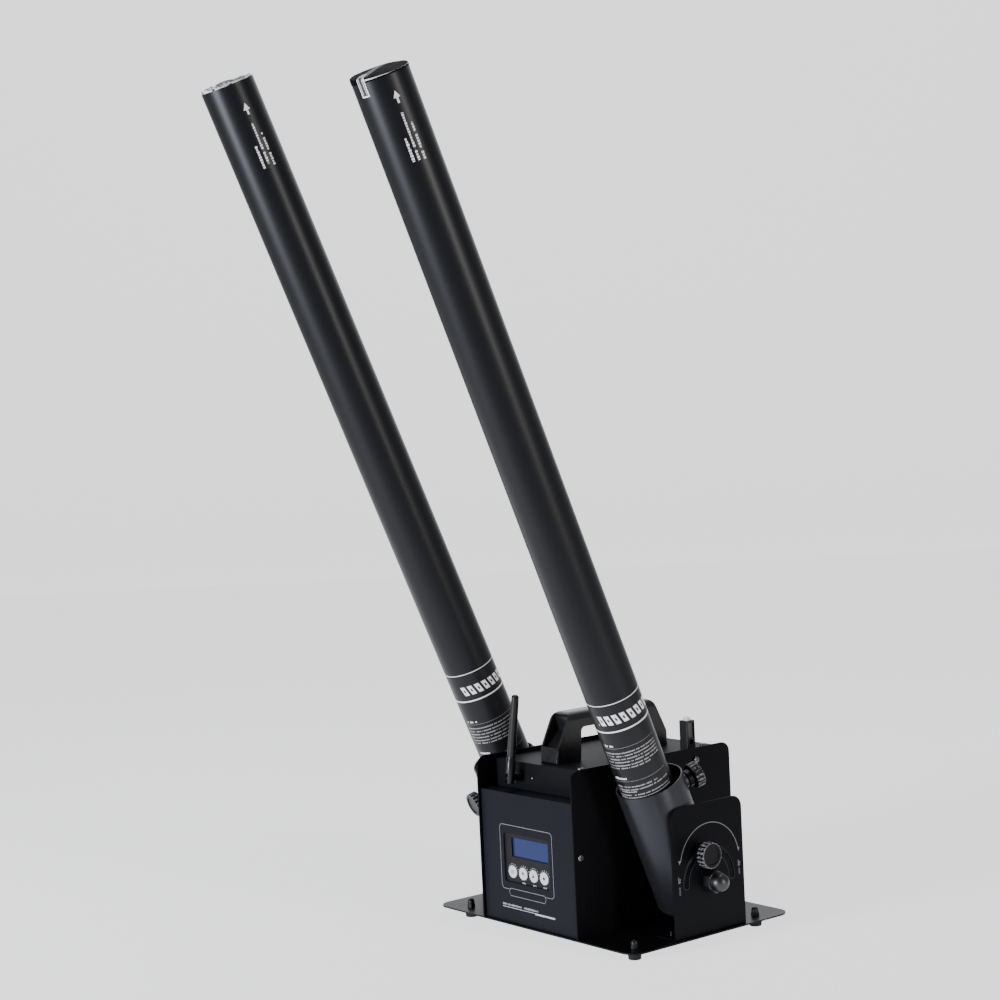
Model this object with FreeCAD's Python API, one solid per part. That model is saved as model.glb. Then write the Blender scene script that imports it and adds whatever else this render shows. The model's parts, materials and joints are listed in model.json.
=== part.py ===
import FreeCAD, Part
import math
import os

# Twin-barrel electric confetti blower: two long barrels stand in leaning holders
# beside a sheet-metal control housing on one base plate.
# Millimetres. +X is to the right seen from the control panel, the panel faces -Y, +Z is up.
# The origin is on the ground under the middle of the base plate.

V = FreeCAD.Vector
X_AXIS = V(1, 0, 0)
Y_AXIS = V(0, 1, 0)
Z_AXIS = V(0, 0, 1)
SIDES = {"right": 1, "left": -1}

# General sheet metal and clearances
SHEET = 1.5
FIT = 0.05            # radial clearance of pins, threads and plugs
GAP = 0.3             # clearance between pieces that move past each other
SKIN = 0.1            # clearance between still pieces that lie inside each other

# Base plate and feet
PLATE_X = 287.5
PLATE_Y = 205.0
PLATE_CORNER_R = 15.0
FOOT_H = 8.0
FOOT_TOP_R = 6.5
FOOT_TIP_R = 5.8
FOOT_LEFT_X = -109.0
FOOT_RIGHT_X = 127.5
FOOT_FRONT_Y = -86.0
FOOT_REAR_Y = 69.0
FOOT_RECESS = 4.4

# Screws and nuts
M4_R = 2.0
M4_HEAD_R = 3.5
M4_HEAD_H = 2.4
M4_CAP_ACROSS = 7.0
M4_CAP_HEX_H = 3.4
M4_CAP_H = 8.4
M4_CAP_THREAD = 5.0
M3_R = 1.5
M3_HEAD_R = 3.2
M3_HEAD_H = 1.9
SCREW_L = 7.0

# Housing
HOUSING_X = 138.5
HOUSING_Y = 204.5
SIDE_H = 155.5
SIDE_CORNER_R = 10.0
SIDE_FLANGE = 14.0
COVER_DROP = 4.6      # the cover lies this far below the side plates' top edges
PANEL_RECESS = 3.0    # the panels stand this far inside the side plates' edges
STRIP_H = 26.4        # height of the set-back strip above the front panel's ledge
PANEL_RETURN = 12.0
LEDGE_DEPTH = 20.5
SIDE_SCREW_Z = 75.0
SIDE_SCREW_INSET = 4.4
COVER_SCREW_YS = (-40.0, 57.0)
COVER_SCREW_DROP = 7.2
TOP_SCREW_FRONT = (49.7, -73.0)
TOP_SCREW_REAR = (45.4, 90.5)

# Outer brackets
BRACKET_GAP = 69.0    # from the side plate's face to the bracket's inner face
HOLDER_SHIFT = 1.65   # the holder stands this far outside the middle of that gap
BRACKET_Y = 90.5
BRACKET_H = 120.5
BRACKET_CORNER_R = 11.0
BRACKET_FLANGE = 24.0
BRACKET_SCREW_Y = 36.0
SLOT_R = 29.0
SLOT_W = 6.5

# Tilting holders
PIVOT_Y = -1.0
PIVOT_H = 48.0
PIVOT_R = 6.0
SIDE_STUB = 2.5       # the inner stud ends this far inside the side plate
PIVOT_THREAD = 13.0
PIVOT_CAP_ACROSS = 19.0
PIVOT_CAP_HEX_H = 10.0
PIVOT_CAP_DOME_R = 8.8
PIVOT_CAP_H = 22.0
HOLDER_R = 32.1
HOLDER_WALL = 1.6
HOLDER_RIM = 101.0
HOLDER_TAIL = 28.5
HOLDER_BOTTOM_R = 8.0
HOLDER_LEAN = 22.2
HOLDER_BOSS_R = 7.0
HOLDER_BOSS_H = 2.3
DRAIN_R = 4.0

# Fluted hand knobs
KNOB_R = 12.0
KNOB_HEAD_H = 8.5
KNOB_HUB_R = 8.0
KNOB_FLUTES = 18
KNOB_FLUTE_R = 1.3
KNOB_STUD_R = 2.9
TILT_HUB_H = 8.0
TILT_STUD_REACH = 3.0
CLAMP_HUB_H = 6.0
CLAMP_SLACK = 0.5
# Each barrel's clamp screw: its height above the pivot along the holder, and the degrees
# from the holder's back towards its outer side.
CLAMP = {
    "right": {"height": 84.0, "turn": 17.0},
    "left": {"height": 73.0, "turn": 12.0},
}

# Barrels
BARREL_R = 25.0
BARREL_WALL = 1.6
BARREL_L = 800.0
PLUG_FLANGE = 2.0
PLUG_DEPTH = 18.0
STUB_R = 6.0
STUB_L = 8.2
CARTRIDGE_R = 11.0
CARTRIDGE_L = 112.0
CARTRIDGE_NECK_R = 5.0
CARTRIDGE_NECK_L = 9.0
WAD_H = 9.0
WAD_GAP = 14.0
SLEEVE_COUNT = 7
SLEEVE_L = 62.0
SLEEVE_SPACE = 0.6
SLEEVE_BORE_R = 15.0
COVER_T = 0.9
COVER_SINK = 1.0
# Where each barrel lies in its oversize holder: how far its bottom end is from the pivot,
# its offsets to the right and to the front at the pivot, and its extra lean both ways in degrees.
BARREL_POSE = {
    "right": {"seat": -18.4, "x": -0.65, "front": 3.1, "lean": 0.95, "splay": 0.8},
    "left": {"seat": 6.6, "x": 2.2, "front": -4.7, "lean": 0.75, "splay": -1.13},
}

# Control window
CONTROL_X = -3.3
WINDOW_W = 66.5
WINDOW_H = 46.6
WINDOW_Z = 62.4
WINDOW_R = 3.0
BEZEL_LIP = 4.0
BEZEL_T = 1.8
GLASS_X = 0.0
GLASS_W = 53.0
GLASS_H = 18.3
GLASS_Z = 72.8
GLASS_T = 2.0
BUTTON_R = 6.0
BUTTON_MID_X = -2.6
BUTTON_Z = 49.2
BUTTON_PITCH = 15.3
BUTTON_PROUD = 1.0
BUTTON_SKIRT = 0.8
BUTTON_STEM_R = 2.0
BUTTON_TRAVEL = 0.8
BUTTON_NAMES = ("menu", "down", "up", "enter")
BOARD_T = 1.6
BOARD_STAND = 8.0
SWITCH_H = 3.0

# Carry handle
HANDLE_X = 26.0
HANDLE_Y = 145.0
HANDLE_H = 47.0
HANDLE_MID_Y = 3.0
HANDLE_BLOCK_H = 13.5
HANDLE_GRIP_T = 15.0
HANDLE_FOOT_Y = 30.0
HANDLE_TOP_IN = 19.0
HANDLE_ROUND_R = 8.0
HANDLE_RIB = 2.4
HANDLE_SCOOP = 6.5

# Igniter terminals on the cover
TERMINAL_X = 49.5
TERMINAL_Y = 66.0
TERMINAL_W = 11.0
TERMINAL_H = 28.0
TERMINAL_WALL = 1.7
TERMINAL_HOLE_R = 2.6
TERMINAL_HOLE_Z = 7.2
TERMINAL_WINDOW_Z = 11.2
TERMINAL_WINDOW_H = 14.6
TERMINAL_TRAVEL = 2.5
TERMINAL_CAP_R = 4.0
TERMINAL_CAP_H = 3.2

# Radio aerial
AERIAL_X = -31.0
AERIAL_DROP = 13.5    # below the cover's top
AERIAL_REACH = 13.6
AERIAL_LEAN = 10.0
AERIAL_L = 82.0
AERIAL_FOOT_R = 4.6
AERIAL_TIP_R = 3.6
AERIAL_STEP = 19.0
AERIAL_SLEEVE_R = 4.8
AERIAL_SLEEVE_L = 6.6
AERIAL_TONGUE = 3.0
AERIAL_EYE_R = 3.4
AERIAL_PIN_R = 1.3
AERIAL_NUT_ACROSS = 9.0
AERIAL_NUT_T = 1.8
LED_X = -13.0
LED_DROP = 14.1
LED_R = 1.6

# Rear sockets
INLET_X = -34.0
INLET_Z = 38.0
INLET_W = 50.0
INLET_H = 28.0
INLET_MOUTH_W = 24.0
INLET_MOUTH_H = 16.5
INLET_DEPTH = 18.0
ROCKER_X = 18.0
ROCKER_W = 13.0
ROCKER_H = 19.5
ROCKER_TILT = 8.0
DMX_Z = 92.0
DMX_XS = (-22.0, 22.0)
DMX_R = 11.6
DMX_FLANGE_W = 26.0
DMX_FLANGE_H = 31.0
DMX_DEPTH = 15.0

# Inner boards
STANDOFF_R = 3.0
STANDOFF_H = 8.0
SUPPLY = (84.0, 66.0, 34.0)
SUPPLY_Y = 52.0
FIRING = (92.0, 62.0, 24.0)
FIRING_Y = -34.0

# Derived places
PLATE_TOP = FOOT_H + SHEET
SIDE_FACE = HOUSING_X / 2.0
SIDE_INNER = SIDE_FACE - SHEET
HOUSING_FRONT = -HOUSING_Y / 2.0
PANEL_FACE = HOUSING_FRONT + PANEL_RECESS
STRIP_FACE = PANEL_FACE + LEDGE_DEPTH
REAR_FACE = -PANEL_FACE
COVER_TOP = PLATE_TOP + SIDE_H - COVER_DROP
LEDGE_TOP = COVER_TOP - STRIP_H
RETURN_FACE = SIDE_INNER - SKIN
BRACKET_INNER = SIDE_FACE + BRACKET_GAP
BRACKET_OUTER = BRACKET_INNER + SHEET
HOLDER_X = SIDE_FACE + BRACKET_GAP / 2.0 + HOLDER_SHIFT
PIVOT_Z = PLATE_TOP + PIVOT_H
BRACKET_REACH = BRACKET_OUTER - HOLDER_X
FEET = [(x, y) for x in (FOOT_LEFT_X, FOOT_RIGHT_X) for y in (FOOT_FRONT_Y, FOOT_REAR_Y)]
BORE_R = BARREL_R - BARREL_WALL - FIT


def box(x0, x1, y0, y1, z0, z1):
    """A box between two corners."""
    return Part.makeBox(x1 - x0, y1 - y0, z1 - z0, V(x0, y0, z0))


def rod(radius, start, end):
    """A round bar between two points."""
    return Part.makeCylinder(radius, (end - start).Length, start, end - start)


def corner_edges(points):
    """Edges of a closed outline whose corners, given as (a, b, radius), are rounded."""
    count = len(points)
    arcs = []
    for i in range(count):
        here = V(points[i][0], points[i][1], 0)
        back = (V(points[i - 1][0], points[i - 1][1], 0) - here).normalize()
        ahead_point = points[(i + 1) % count]
        ahead = (V(ahead_point[0], ahead_point[1], 0) - here).normalize()
        radius = points[i][2]
        if radius <= 0:
            arcs.append((here, None, here))
            continue
        half = back.getAngle(ahead) / 2.0
        run = radius / math.tan(half)
        inward = (back + ahead).normalize()
        middle = here + inward * (radius / math.sin(half) - radius)
        arcs.append((here + back * run, middle, here + ahead * run))
    edges = []
    for i in range(count):
        start, middle, end = arcs[i]
        if middle is not None:
            edges.append(Part.Arc(start, middle, end).toShape())
        following = arcs[(i + 1) % count][0]
        if end.distanceToPoint(following) > 1e-6:
            edges.append(Part.LineSegment(end, following).toShape())
    return edges


def slab(points, plane, start, thickness):
    """A flat piece with rounded corners, drawn in plane XY, XZ or YZ and made thick from start."""
    face = Part.Face(Part.Wire(corner_edges(points)))
    solid = face.extrude(V(0, 0, thickness))
    if plane == "XZ":
        solid.rotate(V(0, 0, 0), X_AXIS, 90)
        solid.translate(V(0, start + thickness, 0))
    elif plane == "YZ":
        solid.rotate(V(0, 0, 0), V(1, 1, 1), 120)
        solid.translate(V(start, 0, 0))
    else:
        solid.translate(V(0, 0, start))
    return solid


def rectangle(a0, a1, b0, b1, radius=0.0):
    """Corner list of a rectangle with one corner radius."""
    return [(a0, b0, radius), (a1, b0, radius), (a1, b1, radius), (a0, b1, radius)]


def centred(a, b, width, height, radius=0.0):
    """Corner list of a rectangle round a middle point."""
    return rectangle(a - width / 2, a + width / 2, b - height / 2, b + height / 2, radius)


def both_sides(x0, x1, y0, y1, z0, z1):
    """A box on the right and its mirror image on the left."""
    return [box(x0, x1, y0, y1, z0, z1), box(-x1, -x0, y0, y1, z0, z1)]


def turned(points):
    """A body of revolution about +Z from a half profile of (radius, height, corner radius)."""
    face = Part.Face(Part.Wire(corner_edges(points)))
    face.rotate(V(0, 0, 0), X_AXIS, 90)
    return face.revolve(V(0, 0, 0), Z_AXIS, 360)


def hexagon(across, height):
    """A hexagonal prism standing on the XY plane, with two flats facing X."""
    radius = across / math.sqrt(3.0)
    corners = []
    for i in range(6):
        angle = math.radians(60 * i + 30)
        corners.append((radius * math.cos(angle), radius * math.sin(angle), 0))
    return slab(corners, "XY", 0.0, height)


def aimed(shape, origin, direction):
    """A piece built along +Z, turned to a direction and moved to its origin."""
    result = shape.copy()
    result.Placement = FreeCAD.Placement(origin, FreeCAD.Rotation(Z_AXIS, direction))
    return result


def fused(shapes):
    """One solid from overlapping or touching pieces."""
    return shapes[0].multiFuse(shapes[1:]).removeSplitter()


def drilled(shape, tools):
    """A piece with holes cut in it."""
    return shape.cut(Part.makeCompound(tools))


def saved(name, shapes):
    """Write one sub-part, which may be a group of separate solids."""
    solids = []
    for shape in shapes:
        solids.extend(shape.Solids)
    shape = solids[0] if len(solids) == 1 else Part.makeCompound(solids)
    shape.exportStep("parts/" + name + ".step")
    print(name, len(solids), round(shape.Volume / 1000.0, 2), "cm3")


# Fasteners

def pan_screw(radius, head_radius, head_height, length):
    """A pan-head screw whose head stands up from the XY plane and whose shank points down."""
    head = turned([(0, 0, 0), (head_radius, 0, 0), (head_radius, head_height, head_height * 0.6),
                   (0, head_height, 0)])
    shank = rod(radius, V(0, 0, 0), V(0, 0, -length))
    slot = box(-head_radius * 0.6, head_radius * 0.6, -0.4, 0.4, head_height - 0.8, head_height + 1)
    cross = slot.copy()
    cross.rotate(V(0, 0, 0), Z_AXIS, 90)
    return drilled(fused([head, shank]), [slot, cross])


def cap_nut(across, hex_height, dome_radius, height, bore, depth):
    """A domed cap nut standing on the XY plane."""
    nut_hex = hexagon(across, hex_height)
    corner = across * 0.56
    trim = turned([(0, 0, 0), (corner, 0, 0.6), (corner, hex_height, 1.0), (0, hex_height, 0)])
    dome = rod(dome_radius, V(0, 0, 0), V(0, 0, height - dome_radius))
    ball = Part.makeSphere(dome_radius, V(0, 0, height - dome_radius))
    body = fused([nut_hex.common(trim), dome, ball])
    return drilled(body, [rod(bore, V(0, 0, -1), V(0, 0, depth))])


def fluted_knob(hub_height, stud_length):
    """A hand knob along +Z: stud below, hub from 0, fluted head above."""
    head_top = hub_height + KNOB_HEAD_H
    head = turned([(0, hub_height, 0), (KNOB_R, hub_height, 1.0), (KNOB_R, head_top, 1.0), (0, head_top, 0)])
    flutes = []
    for i in range(KNOB_FLUTES):
        angle = 2 * math.pi * i / KNOB_FLUTES
        centre = V(KNOB_R + KNOB_FLUTE_R * 0.4, 0, 0)
        centre = V(centre.x * math.cos(angle), centre.x * math.sin(angle), 0)
        flutes.append(rod(KNOB_FLUTE_R, centre + V(0, 0, hub_height - 1), centre + V(0, 0, head_top + 1)))
    dish = head_top - 0.8
    flutes.append(turned([(0, dish, 0), (KNOB_R * 0.7, dish, 0.5), (KNOB_R * 0.75, head_top + 1, 0),
                          (0, head_top + 1, 0)]))
    hub = turned([(0, 0, 0), (KNOB_HUB_R, 0, 0.8), (KNOB_HUB_R, hub_height, 0), (0, hub_height, 0)])
    stud = rod(KNOB_STUD_R, V(0, 0, -stud_length), V(0, 0, 0))
    return fused([drilled(head, flutes), hub, stud])


# Base

def bracket_screw_places():
    """Floor screw places under the bracket flanges."""
    x = BRACKET_INNER - BRACKET_FLANGE * 0.55
    return [(sign * x, PIVOT_Y + step) for sign in (1, -1) for step in (-BRACKET_SCREW_Y, BRACKET_SCREW_Y)]


def housing_screw_places():
    """Floor screw places under the side plates' flanges."""
    x = SIDE_INNER - SIDE_FLANGE * 0.6
    return [(sign * x, step) for sign in (1, -1) for step in (-HOUSING_Y * 0.36, HOUSING_Y * 0.36)]


def base_plate():
    body = slab(centred(0, 0, PLATE_X, PLATE_Y, PLATE_CORNER_R), "XY", FOOT_H, SHEET)
    places = FEET + bracket_screw_places() + housing_screw_places()
    holes = [rod(M4_R + SKIN, V(x, y, 0), V(x, y, PLATE_TOP + 1)) for x, y in places]
    return drilled(body, holes)


def rubber_foot(x, y):
    body = turned([(0, 0, 0), (FOOT_TIP_R, 0, 0.8), (FOOT_TOP_R, FOOT_H, 0), (0, FOOT_H, 0)])
    hole = rod(M4_R + SKIN, V(0, 0, -1), V(0, 0, FOOT_H + 1))
    recess = rod(M4_HEAD_R + GAP, V(0, 0, -1), V(0, 0, FOOT_RECESS))
    foot = drilled(body, [hole, recess])
    foot.translate(V(x, y, 0))
    return foot


def foot_screw(x, y):
    length = PLATE_TOP + M4_CAP_THREAD - 1 - FOOT_RECESS
    screw = pan_screw(M4_R, M4_HEAD_R, M4_HEAD_H, length)
    return aimed(screw, V(x, y, FOOT_RECESS), V(0, 0, -1))


def foot_cap_nut(x, y):
    nut = cap_nut(M4_CAP_ACROSS, M4_CAP_HEX_H, M4_CAP_ACROSS * 0.47, M4_CAP_H, M4_R + FIT, M4_CAP_THREAD)
    nut.translate(V(x, y, PLATE_TOP))
    return nut


def floor_screw(x, y):
    return aimed(pan_screw(M4_R, M4_HEAD_R, M4_HEAD_H, SCREW_L), V(x, y, FOOT_H), V(0, 0, -1))


# Housing

def side_screw_places():
    """(y, z) of the screws through each side plate."""
    edge = -PANEL_FACE - SIDE_SCREW_INSET
    places = [(-edge, PLATE_TOP + SIDE_SCREW_Z), (edge, PLATE_TOP + SIDE_SCREW_Z)]
    return places + [(y, COVER_TOP - COVER_SCREW_DROP) for y in COVER_SCREW_YS]


def side_plate(sign):
    """A side plate with a flange folded in at the floor, and the holder's inner pivot hole."""
    top = PLATE_TOP + SIDE_H
    outline = [(HOUSING_FRONT, PLATE_TOP, 0), (-HOUSING_FRONT, PLATE_TOP, 0),
               (-HOUSING_FRONT, top, SIDE_CORNER_R), (HOUSING_FRONT, top, SIDE_CORNER_R)]
    wall = slab(outline, "YZ", SIDE_INNER, SHEET)
    end = -PANEL_FACE - PANEL_RETURN - GAP
    flange = box(SIDE_INNER - SIDE_FLANGE, SIDE_FACE - SHEET / 2, -end, end, PLATE_TOP, PLATE_TOP + SHEET)
    holes = [rod(PIVOT_R + FIT, V(0, PIVOT_Y, PIVOT_Z), V(SIDE_FACE + 1, PIVOT_Y, PIVOT_Z))]
    holes += [rod(M3_R + SKIN, V(SIDE_INNER - 1, y, z), V(SIDE_FACE + 1, y, z))
              for y, z in side_screw_places()]
    holes += [rod(M4_R + SKIN, V(x, y, FOOT_H), V(x, y, PLATE_TOP + SHEET + 1))
              for x, y in housing_screw_places() if x > 0]
    body = drilled(fused([wall, flange]), holes)
    if sign < 0:
        body = body.mirror(V(0, 0, 0), X_AXIS)
    return body


def return_holes():
    """Holes in the panels' folded returns for the side screws."""
    holes = []
    for y, z in side_screw_places():
        holes.append(rod(M3_R + SKIN, V(-SIDE_FACE, y, z), V(SIDE_FACE, y, z)))
    return holes


def front_panel():
    """The front panel with side returns, a ledge folded back on top and the control window."""
    floor = PLATE_TOP + SKIN
    face = box(-RETURN_FACE, RETURN_FACE, PANEL_FACE, PANEL_FACE + SHEET, floor, LEDGE_TOP)
    ledge = box(-RETURN_FACE, RETURN_FACE, PANEL_FACE, STRIP_FACE + SHEET, LEDGE_TOP - SHEET, LEDGE_TOP)
    returns = both_sides(RETURN_FACE - SHEET, RETURN_FACE, PANEL_FACE, PANEL_FACE + PANEL_RETURN,
                         floor, LEDGE_TOP)
    window = centred(CONTROL_X, PLATE_TOP + WINDOW_Z, WINDOW_W, WINDOW_H, WINDOW_R)
    cuts = return_holes() + [slab(window, "XZ", PANEL_FACE - 1, SHEET + 2)]
    return drilled(fused([face, ledge] + returns), cuts)


def top_screw_places():
    """(x, y) of the screws seen on the cover."""
    return [(sign * x, y) for sign in (1, -1) for x, y in (TOP_SCREW_FRONT, TOP_SCREW_REAR)]


def top_cover():
    """The cover: its top, the strip folded down in front, side returns and a rear lip."""
    low = COVER_TOP - SHEET
    rear = REAR_FACE - SHEET - SKIN
    parts = [box(-RETURN_FACE, RETURN_FACE, STRIP_FACE, REAR_FACE, low, COVER_TOP),
             box(-RETURN_FACE, RETURN_FACE, STRIP_FACE, STRIP_FACE + SHEET, LEDGE_TOP, COVER_TOP)]
    parts += both_sides(RETURN_FACE - SHEET, RETURN_FACE, STRIP_FACE, rear, low - PANEL_RETURN, COVER_TOP)
    holes = return_holes()
    holes += [rod(M3_R + SKIN, V(x, y, low - 1), V(x, y, COVER_TOP + 1)) for x, y in top_screw_places()]
    holes += [rod(M4_R + SKIN, V(0, y, low - 1), V(0, y, COVER_TOP + 1)) for y in handle_screw_ys()]
    aerial = V(AERIAL_X, STRIP_FACE, COVER_TOP - AERIAL_DROP)
    lamp = V(LED_X, STRIP_FACE, COVER_TOP - LED_DROP)
    holes.append(rod(3.0 + SKIN, aerial - Y_AXIS, aerial + Y_AXIS * (SHEET + 1)))
    holes.append(rod(LED_R + SKIN, lamp - Y_AXIS, lamp + Y_AXIS * (SHEET + 1)))
    for sign in (1, -1):
        spot = V(sign * TERMINAL_X, TERMINAL_Y, 0)
        holes.append(rod(M3_R + SKIN, spot + Z_AXIS * (low - 1), spot + Z_AXIS * (COVER_TOP + 1)))
    return drilled(fused(parts), holes)


def rear_panel():
    """The rear panel with side returns and the sockets' cut-outs."""
    floor = PLATE_TOP + SKIN
    top = COVER_TOP - SHEET - SKIN
    front = REAR_FACE - SHEET
    parts = [box(-RETURN_FACE, RETURN_FACE, front, REAR_FACE, floor, top)]
    parts += both_sides(RETURN_FACE - SHEET, RETURN_FACE, REAR_FACE - PANEL_RETURN, REAR_FACE, floor,
                        COVER_TOP - SHEET - PANEL_RETURN - GAP)
    centre = PLATE_TOP + INLET_Z
    cuts = [slab(centred(INLET_X, centre, INLET_MOUTH_W + 4, INLET_MOUTH_H + 4), "XZ", front - 1, SHEET + 2),
            slab(centred(ROCKER_X, centre, ROCKER_W + 3, ROCKER_H + 3), "XZ", front - 1, SHEET + 2)]
    for x in DMX_XS:
        at = V(x, front - 1, PLATE_TOP + DMX_Z)
        cuts.append(rod(DMX_R + SKIN, at, at + Y_AXIS * (SHEET + 2)))
    return drilled(fused(parts), return_holes() + cuts)


def side_screws():
    """All the screws that show on the housing: both sides and the cover."""
    screw = pan_screw(M3_R, M3_HEAD_R, M3_HEAD_H, SCREW_L)
    group = []
    for sign in (1, -1):
        group += [aimed(screw, V(sign * SIDE_FACE, y, z), V(sign, 0, 0)) for y, z in side_screw_places()]
    group += [aimed(screw, V(x, y, COVER_TOP), Z_AXIS) for x, y in top_screw_places()]
    return group


# Outer brackets

def bracket(sign):
    """The outer bracket: a wall with the pivot hole and the half-round slot, and a floor flange."""
    top = PLATE_TOP + BRACKET_H
    y0 = PIVOT_Y - BRACKET_Y / 2
    y1 = PIVOT_Y + BRACKET_Y / 2
    outline = [(y0, PLATE_TOP, 0), (y1, PLATE_TOP, 0), (y1, top, BRACKET_CORNER_R),
               (y0, top, BRACKET_CORNER_R)]
    wall = slab(outline, "YZ", BRACKET_INNER, SHEET)
    flange = box(BRACKET_INNER - BRACKET_FLANGE, BRACKET_INNER + SHEET / 2, y0, y1,
                 PLATE_TOP, PLATE_TOP + SHEET)
    start = V(BRACKET_INNER - 1, PIVOT_Y, PIVOT_Z)
    end = V(BRACKET_OUTER + 1, PIVOT_Y, PIVOT_Z)
    ring = rod(SLOT_R + SLOT_W / 2, start, end).cut(rod(SLOT_R - SLOT_W / 2, start, end))
    upper = box(start.x - 1, end.x + 1, y0, y1, PIVOT_Z, top)
    cuts = [ring.common(upper), rod(PIVOT_R + FIT, start, end)]
    for step in (-SLOT_R, SLOT_R):
        cuts.append(rod(SLOT_W / 2, start + Y_AXIS * step, end + Y_AXIS * step))
    cuts += [rod(M4_R + SKIN, V(x, y, FOOT_H), V(x, y, PLATE_TOP + SHEET + 1))
             for x, y in bracket_screw_places() if x > 0]
    body = fused([wall, flange])
    for cut in cuts:
        body = body.cut(cut)
    if sign < 0:
        body = body.mirror(V(0, 0, 0), X_AXIS)
    return body


# Holders, drawn upright with the pivot at the origin and the outer side towards +X

def in_holder(shape, side, turn=True):
    """Move a piece from the holder's own frame to its place. The left holder is turned half round."""
    result = shape.copy()
    if turn and side == "left":
        result.rotate(V(0, 0, 0), Z_AXIS, 180)
    result.rotate(V(0, 0, 0), X_AXIS, HOLDER_LEAN)
    result.translate(V(SIDES[side] * HOLDER_X, PIVOT_Y, PIVOT_Z))
    return result


def clamp_line(side):
    """The clamp screw's foot on the holder's axis and its outward direction, in the holder's frame."""
    turn = math.radians(CLAMP[side]["turn"])
    return Z_AXIS * CLAMP[side]["height"], V(math.sin(turn), math.cos(turn), 0)


def holder_tube(side):
    """The cup that a barrel stands in, with its two pivot studs and the clamp screw's boss."""
    inner = HOLDER_R - HOLDER_WALL
    floor = HOLDER_WALL - HOLDER_TAIL
    shell = turned([(0, -HOLDER_TAIL, 0), (HOLDER_R, -HOLDER_TAIL, HOLDER_BOTTOM_R),
                    (HOLDER_R, HOLDER_RIM, 0.5), (inner, HOLDER_RIM, 0.5),
                    (inner, floor, HOLDER_BOTTOM_R - HOLDER_WALL), (0, floor, 0)])
    start = inner + 0.1
    outer_stud = rod(PIVOT_R, V(start, 0, 0), V(BRACKET_REACH + PIVOT_THREAD, 0, 0))
    inner_stud = rod(PIVOT_R, V(-start, 0, 0), V(SIDE_INNER - HOLDER_X - SIDE_STUB, 0, 0))
    base, out = clamp_line(side)
    boss = rod(HOLDER_BOSS_R, base + out * (HOLDER_R - 1), base + out * (HOLDER_R + HOLDER_BOSS_H))
    body = fused([shell, outer_stud, inner_stud, boss])
    hole_r = KNOB_STUD_R + FIT
    holes = [rod(hole_r, V(inner - 4, 0, SLOT_R), V(HOLDER_R + 4, 0, SLOT_R)),
             rod(hole_r, base + out * (inner - 4), base + out * (HOLDER_R + 10)),
             rod(DRAIN_R, V(0, 0, -HOLDER_TAIL - 1), V(0, 0, floor + 1))]
    return drilled(body, holes)


def pivot_cap_nut():
    nut = cap_nut(PIVOT_CAP_ACROSS, PIVOT_CAP_HEX_H, PIVOT_CAP_DOME_R, PIVOT_CAP_H, PIVOT_R + FIT,
                  PIVOT_THREAD + 0.5)
    return aimed(nut, V(BRACKET_REACH + GAP, 0, 0), X_AXIS)


def tilt_knob():
    """The knob that clamps the holder's tilt, its stud in the bracket's slot."""
    start = BRACKET_REACH + GAP
    stud = start - HOLDER_R + TILT_STUD_REACH
    return aimed(fluted_knob(TILT_HUB_H, stud), V(start, 0, SLOT_R), X_AXIS)


def barrel_axis(side):
    """A point and the direction of a barrel's axis in the holder's frame, before any half turn."""
    pose = BARREL_POSE[side]
    point = V(pose["x"], -pose["front"], 0)
    turn = FreeCAD.Rotation(Y_AXIS, pose["splay"]).multiply(FreeCAD.Rotation(X_AXIS, pose["lean"]))
    return point, turn


def barrel_knob(side):
    """The thumb screw that presses the barrel against the holder's far wall."""
    base, out = clamp_line(side)
    facing = out if side == "right" else out * -1
    point, turn = barrel_axis(side)
    along = turn.multVec(Z_AXIS)
    centre = point + along * (base.z / along.z)
    flat = V(centre.x, centre.y, 0)
    reach = facing.dot(flat) + math.sqrt(BARREL_R ** 2 - flat.Length ** 2 + facing.dot(flat) ** 2)
    start = HOLDER_R + HOLDER_BOSS_H + CLAMP_SLACK
    return aimed(fluted_knob(CLAMP_HUB_H, start - reach - GAP), base + out * start, out)


# Barrels, drawn along +Z from the bottom end

def in_barrel(shape, side):
    """Move a piece from the barrel's own frame to its place in the holder."""
    point, turn = barrel_axis(side)
    result = shape.copy()
    seat = turn.multVec(Z_AXIS) * BARREL_POSE[side]["seat"]
    result.Placement = FreeCAD.Placement(point + seat, turn)
    return in_holder(result, side, turn=False)


def barrel_tube():
    outer = rod(BARREL_R, V(0, 0, PLUG_FLANGE), V(0, 0, BARREL_L))
    return outer.cut(rod(BARREL_R - BARREL_WALL, V(0, 0, PLUG_FLANGE - 1), V(0, 0, BARREL_L + 1)))


def base_plug():
    """The bottom plug with its flange and the igniter's stub."""
    flange = rod(BARREL_R, V(0, 0, 0), V(0, 0, PLUG_FLANGE))
    spigot = rod(BORE_R, V(0, 0, 0), V(0, 0, PLUG_DEPTH))
    stub = turned([(0, -STUB_L, 0), (STUB_R, -STUB_L, 1.5), (STUB_R, 0.5, 0), (0, 0.5, 0)])
    seat = rod(CARTRIDGE_R + FIT, V(0, 0, PLUG_DEPTH - 6), V(0, 0, PLUG_DEPTH + 1))
    return drilled(fused([flange, spigot, stub]), [seat])


def gas_cartridge():
    """A closed gas bottle with a round shoulder and neck, standing in the plug."""
    low = PLUG_DEPTH - 6
    top = low + CARTRIDGE_L
    return turned([(0, low, 0), (CARTRIDGE_R, low, 2), (CARTRIDGE_R, top - CARTRIDGE_NECK_L, 5),
                   (CARTRIDGE_NECK_R, top - CARTRIDGE_NECK_L, 1), (CARTRIDGE_NECK_R, top, 1), (0, top, 0)])


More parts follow.
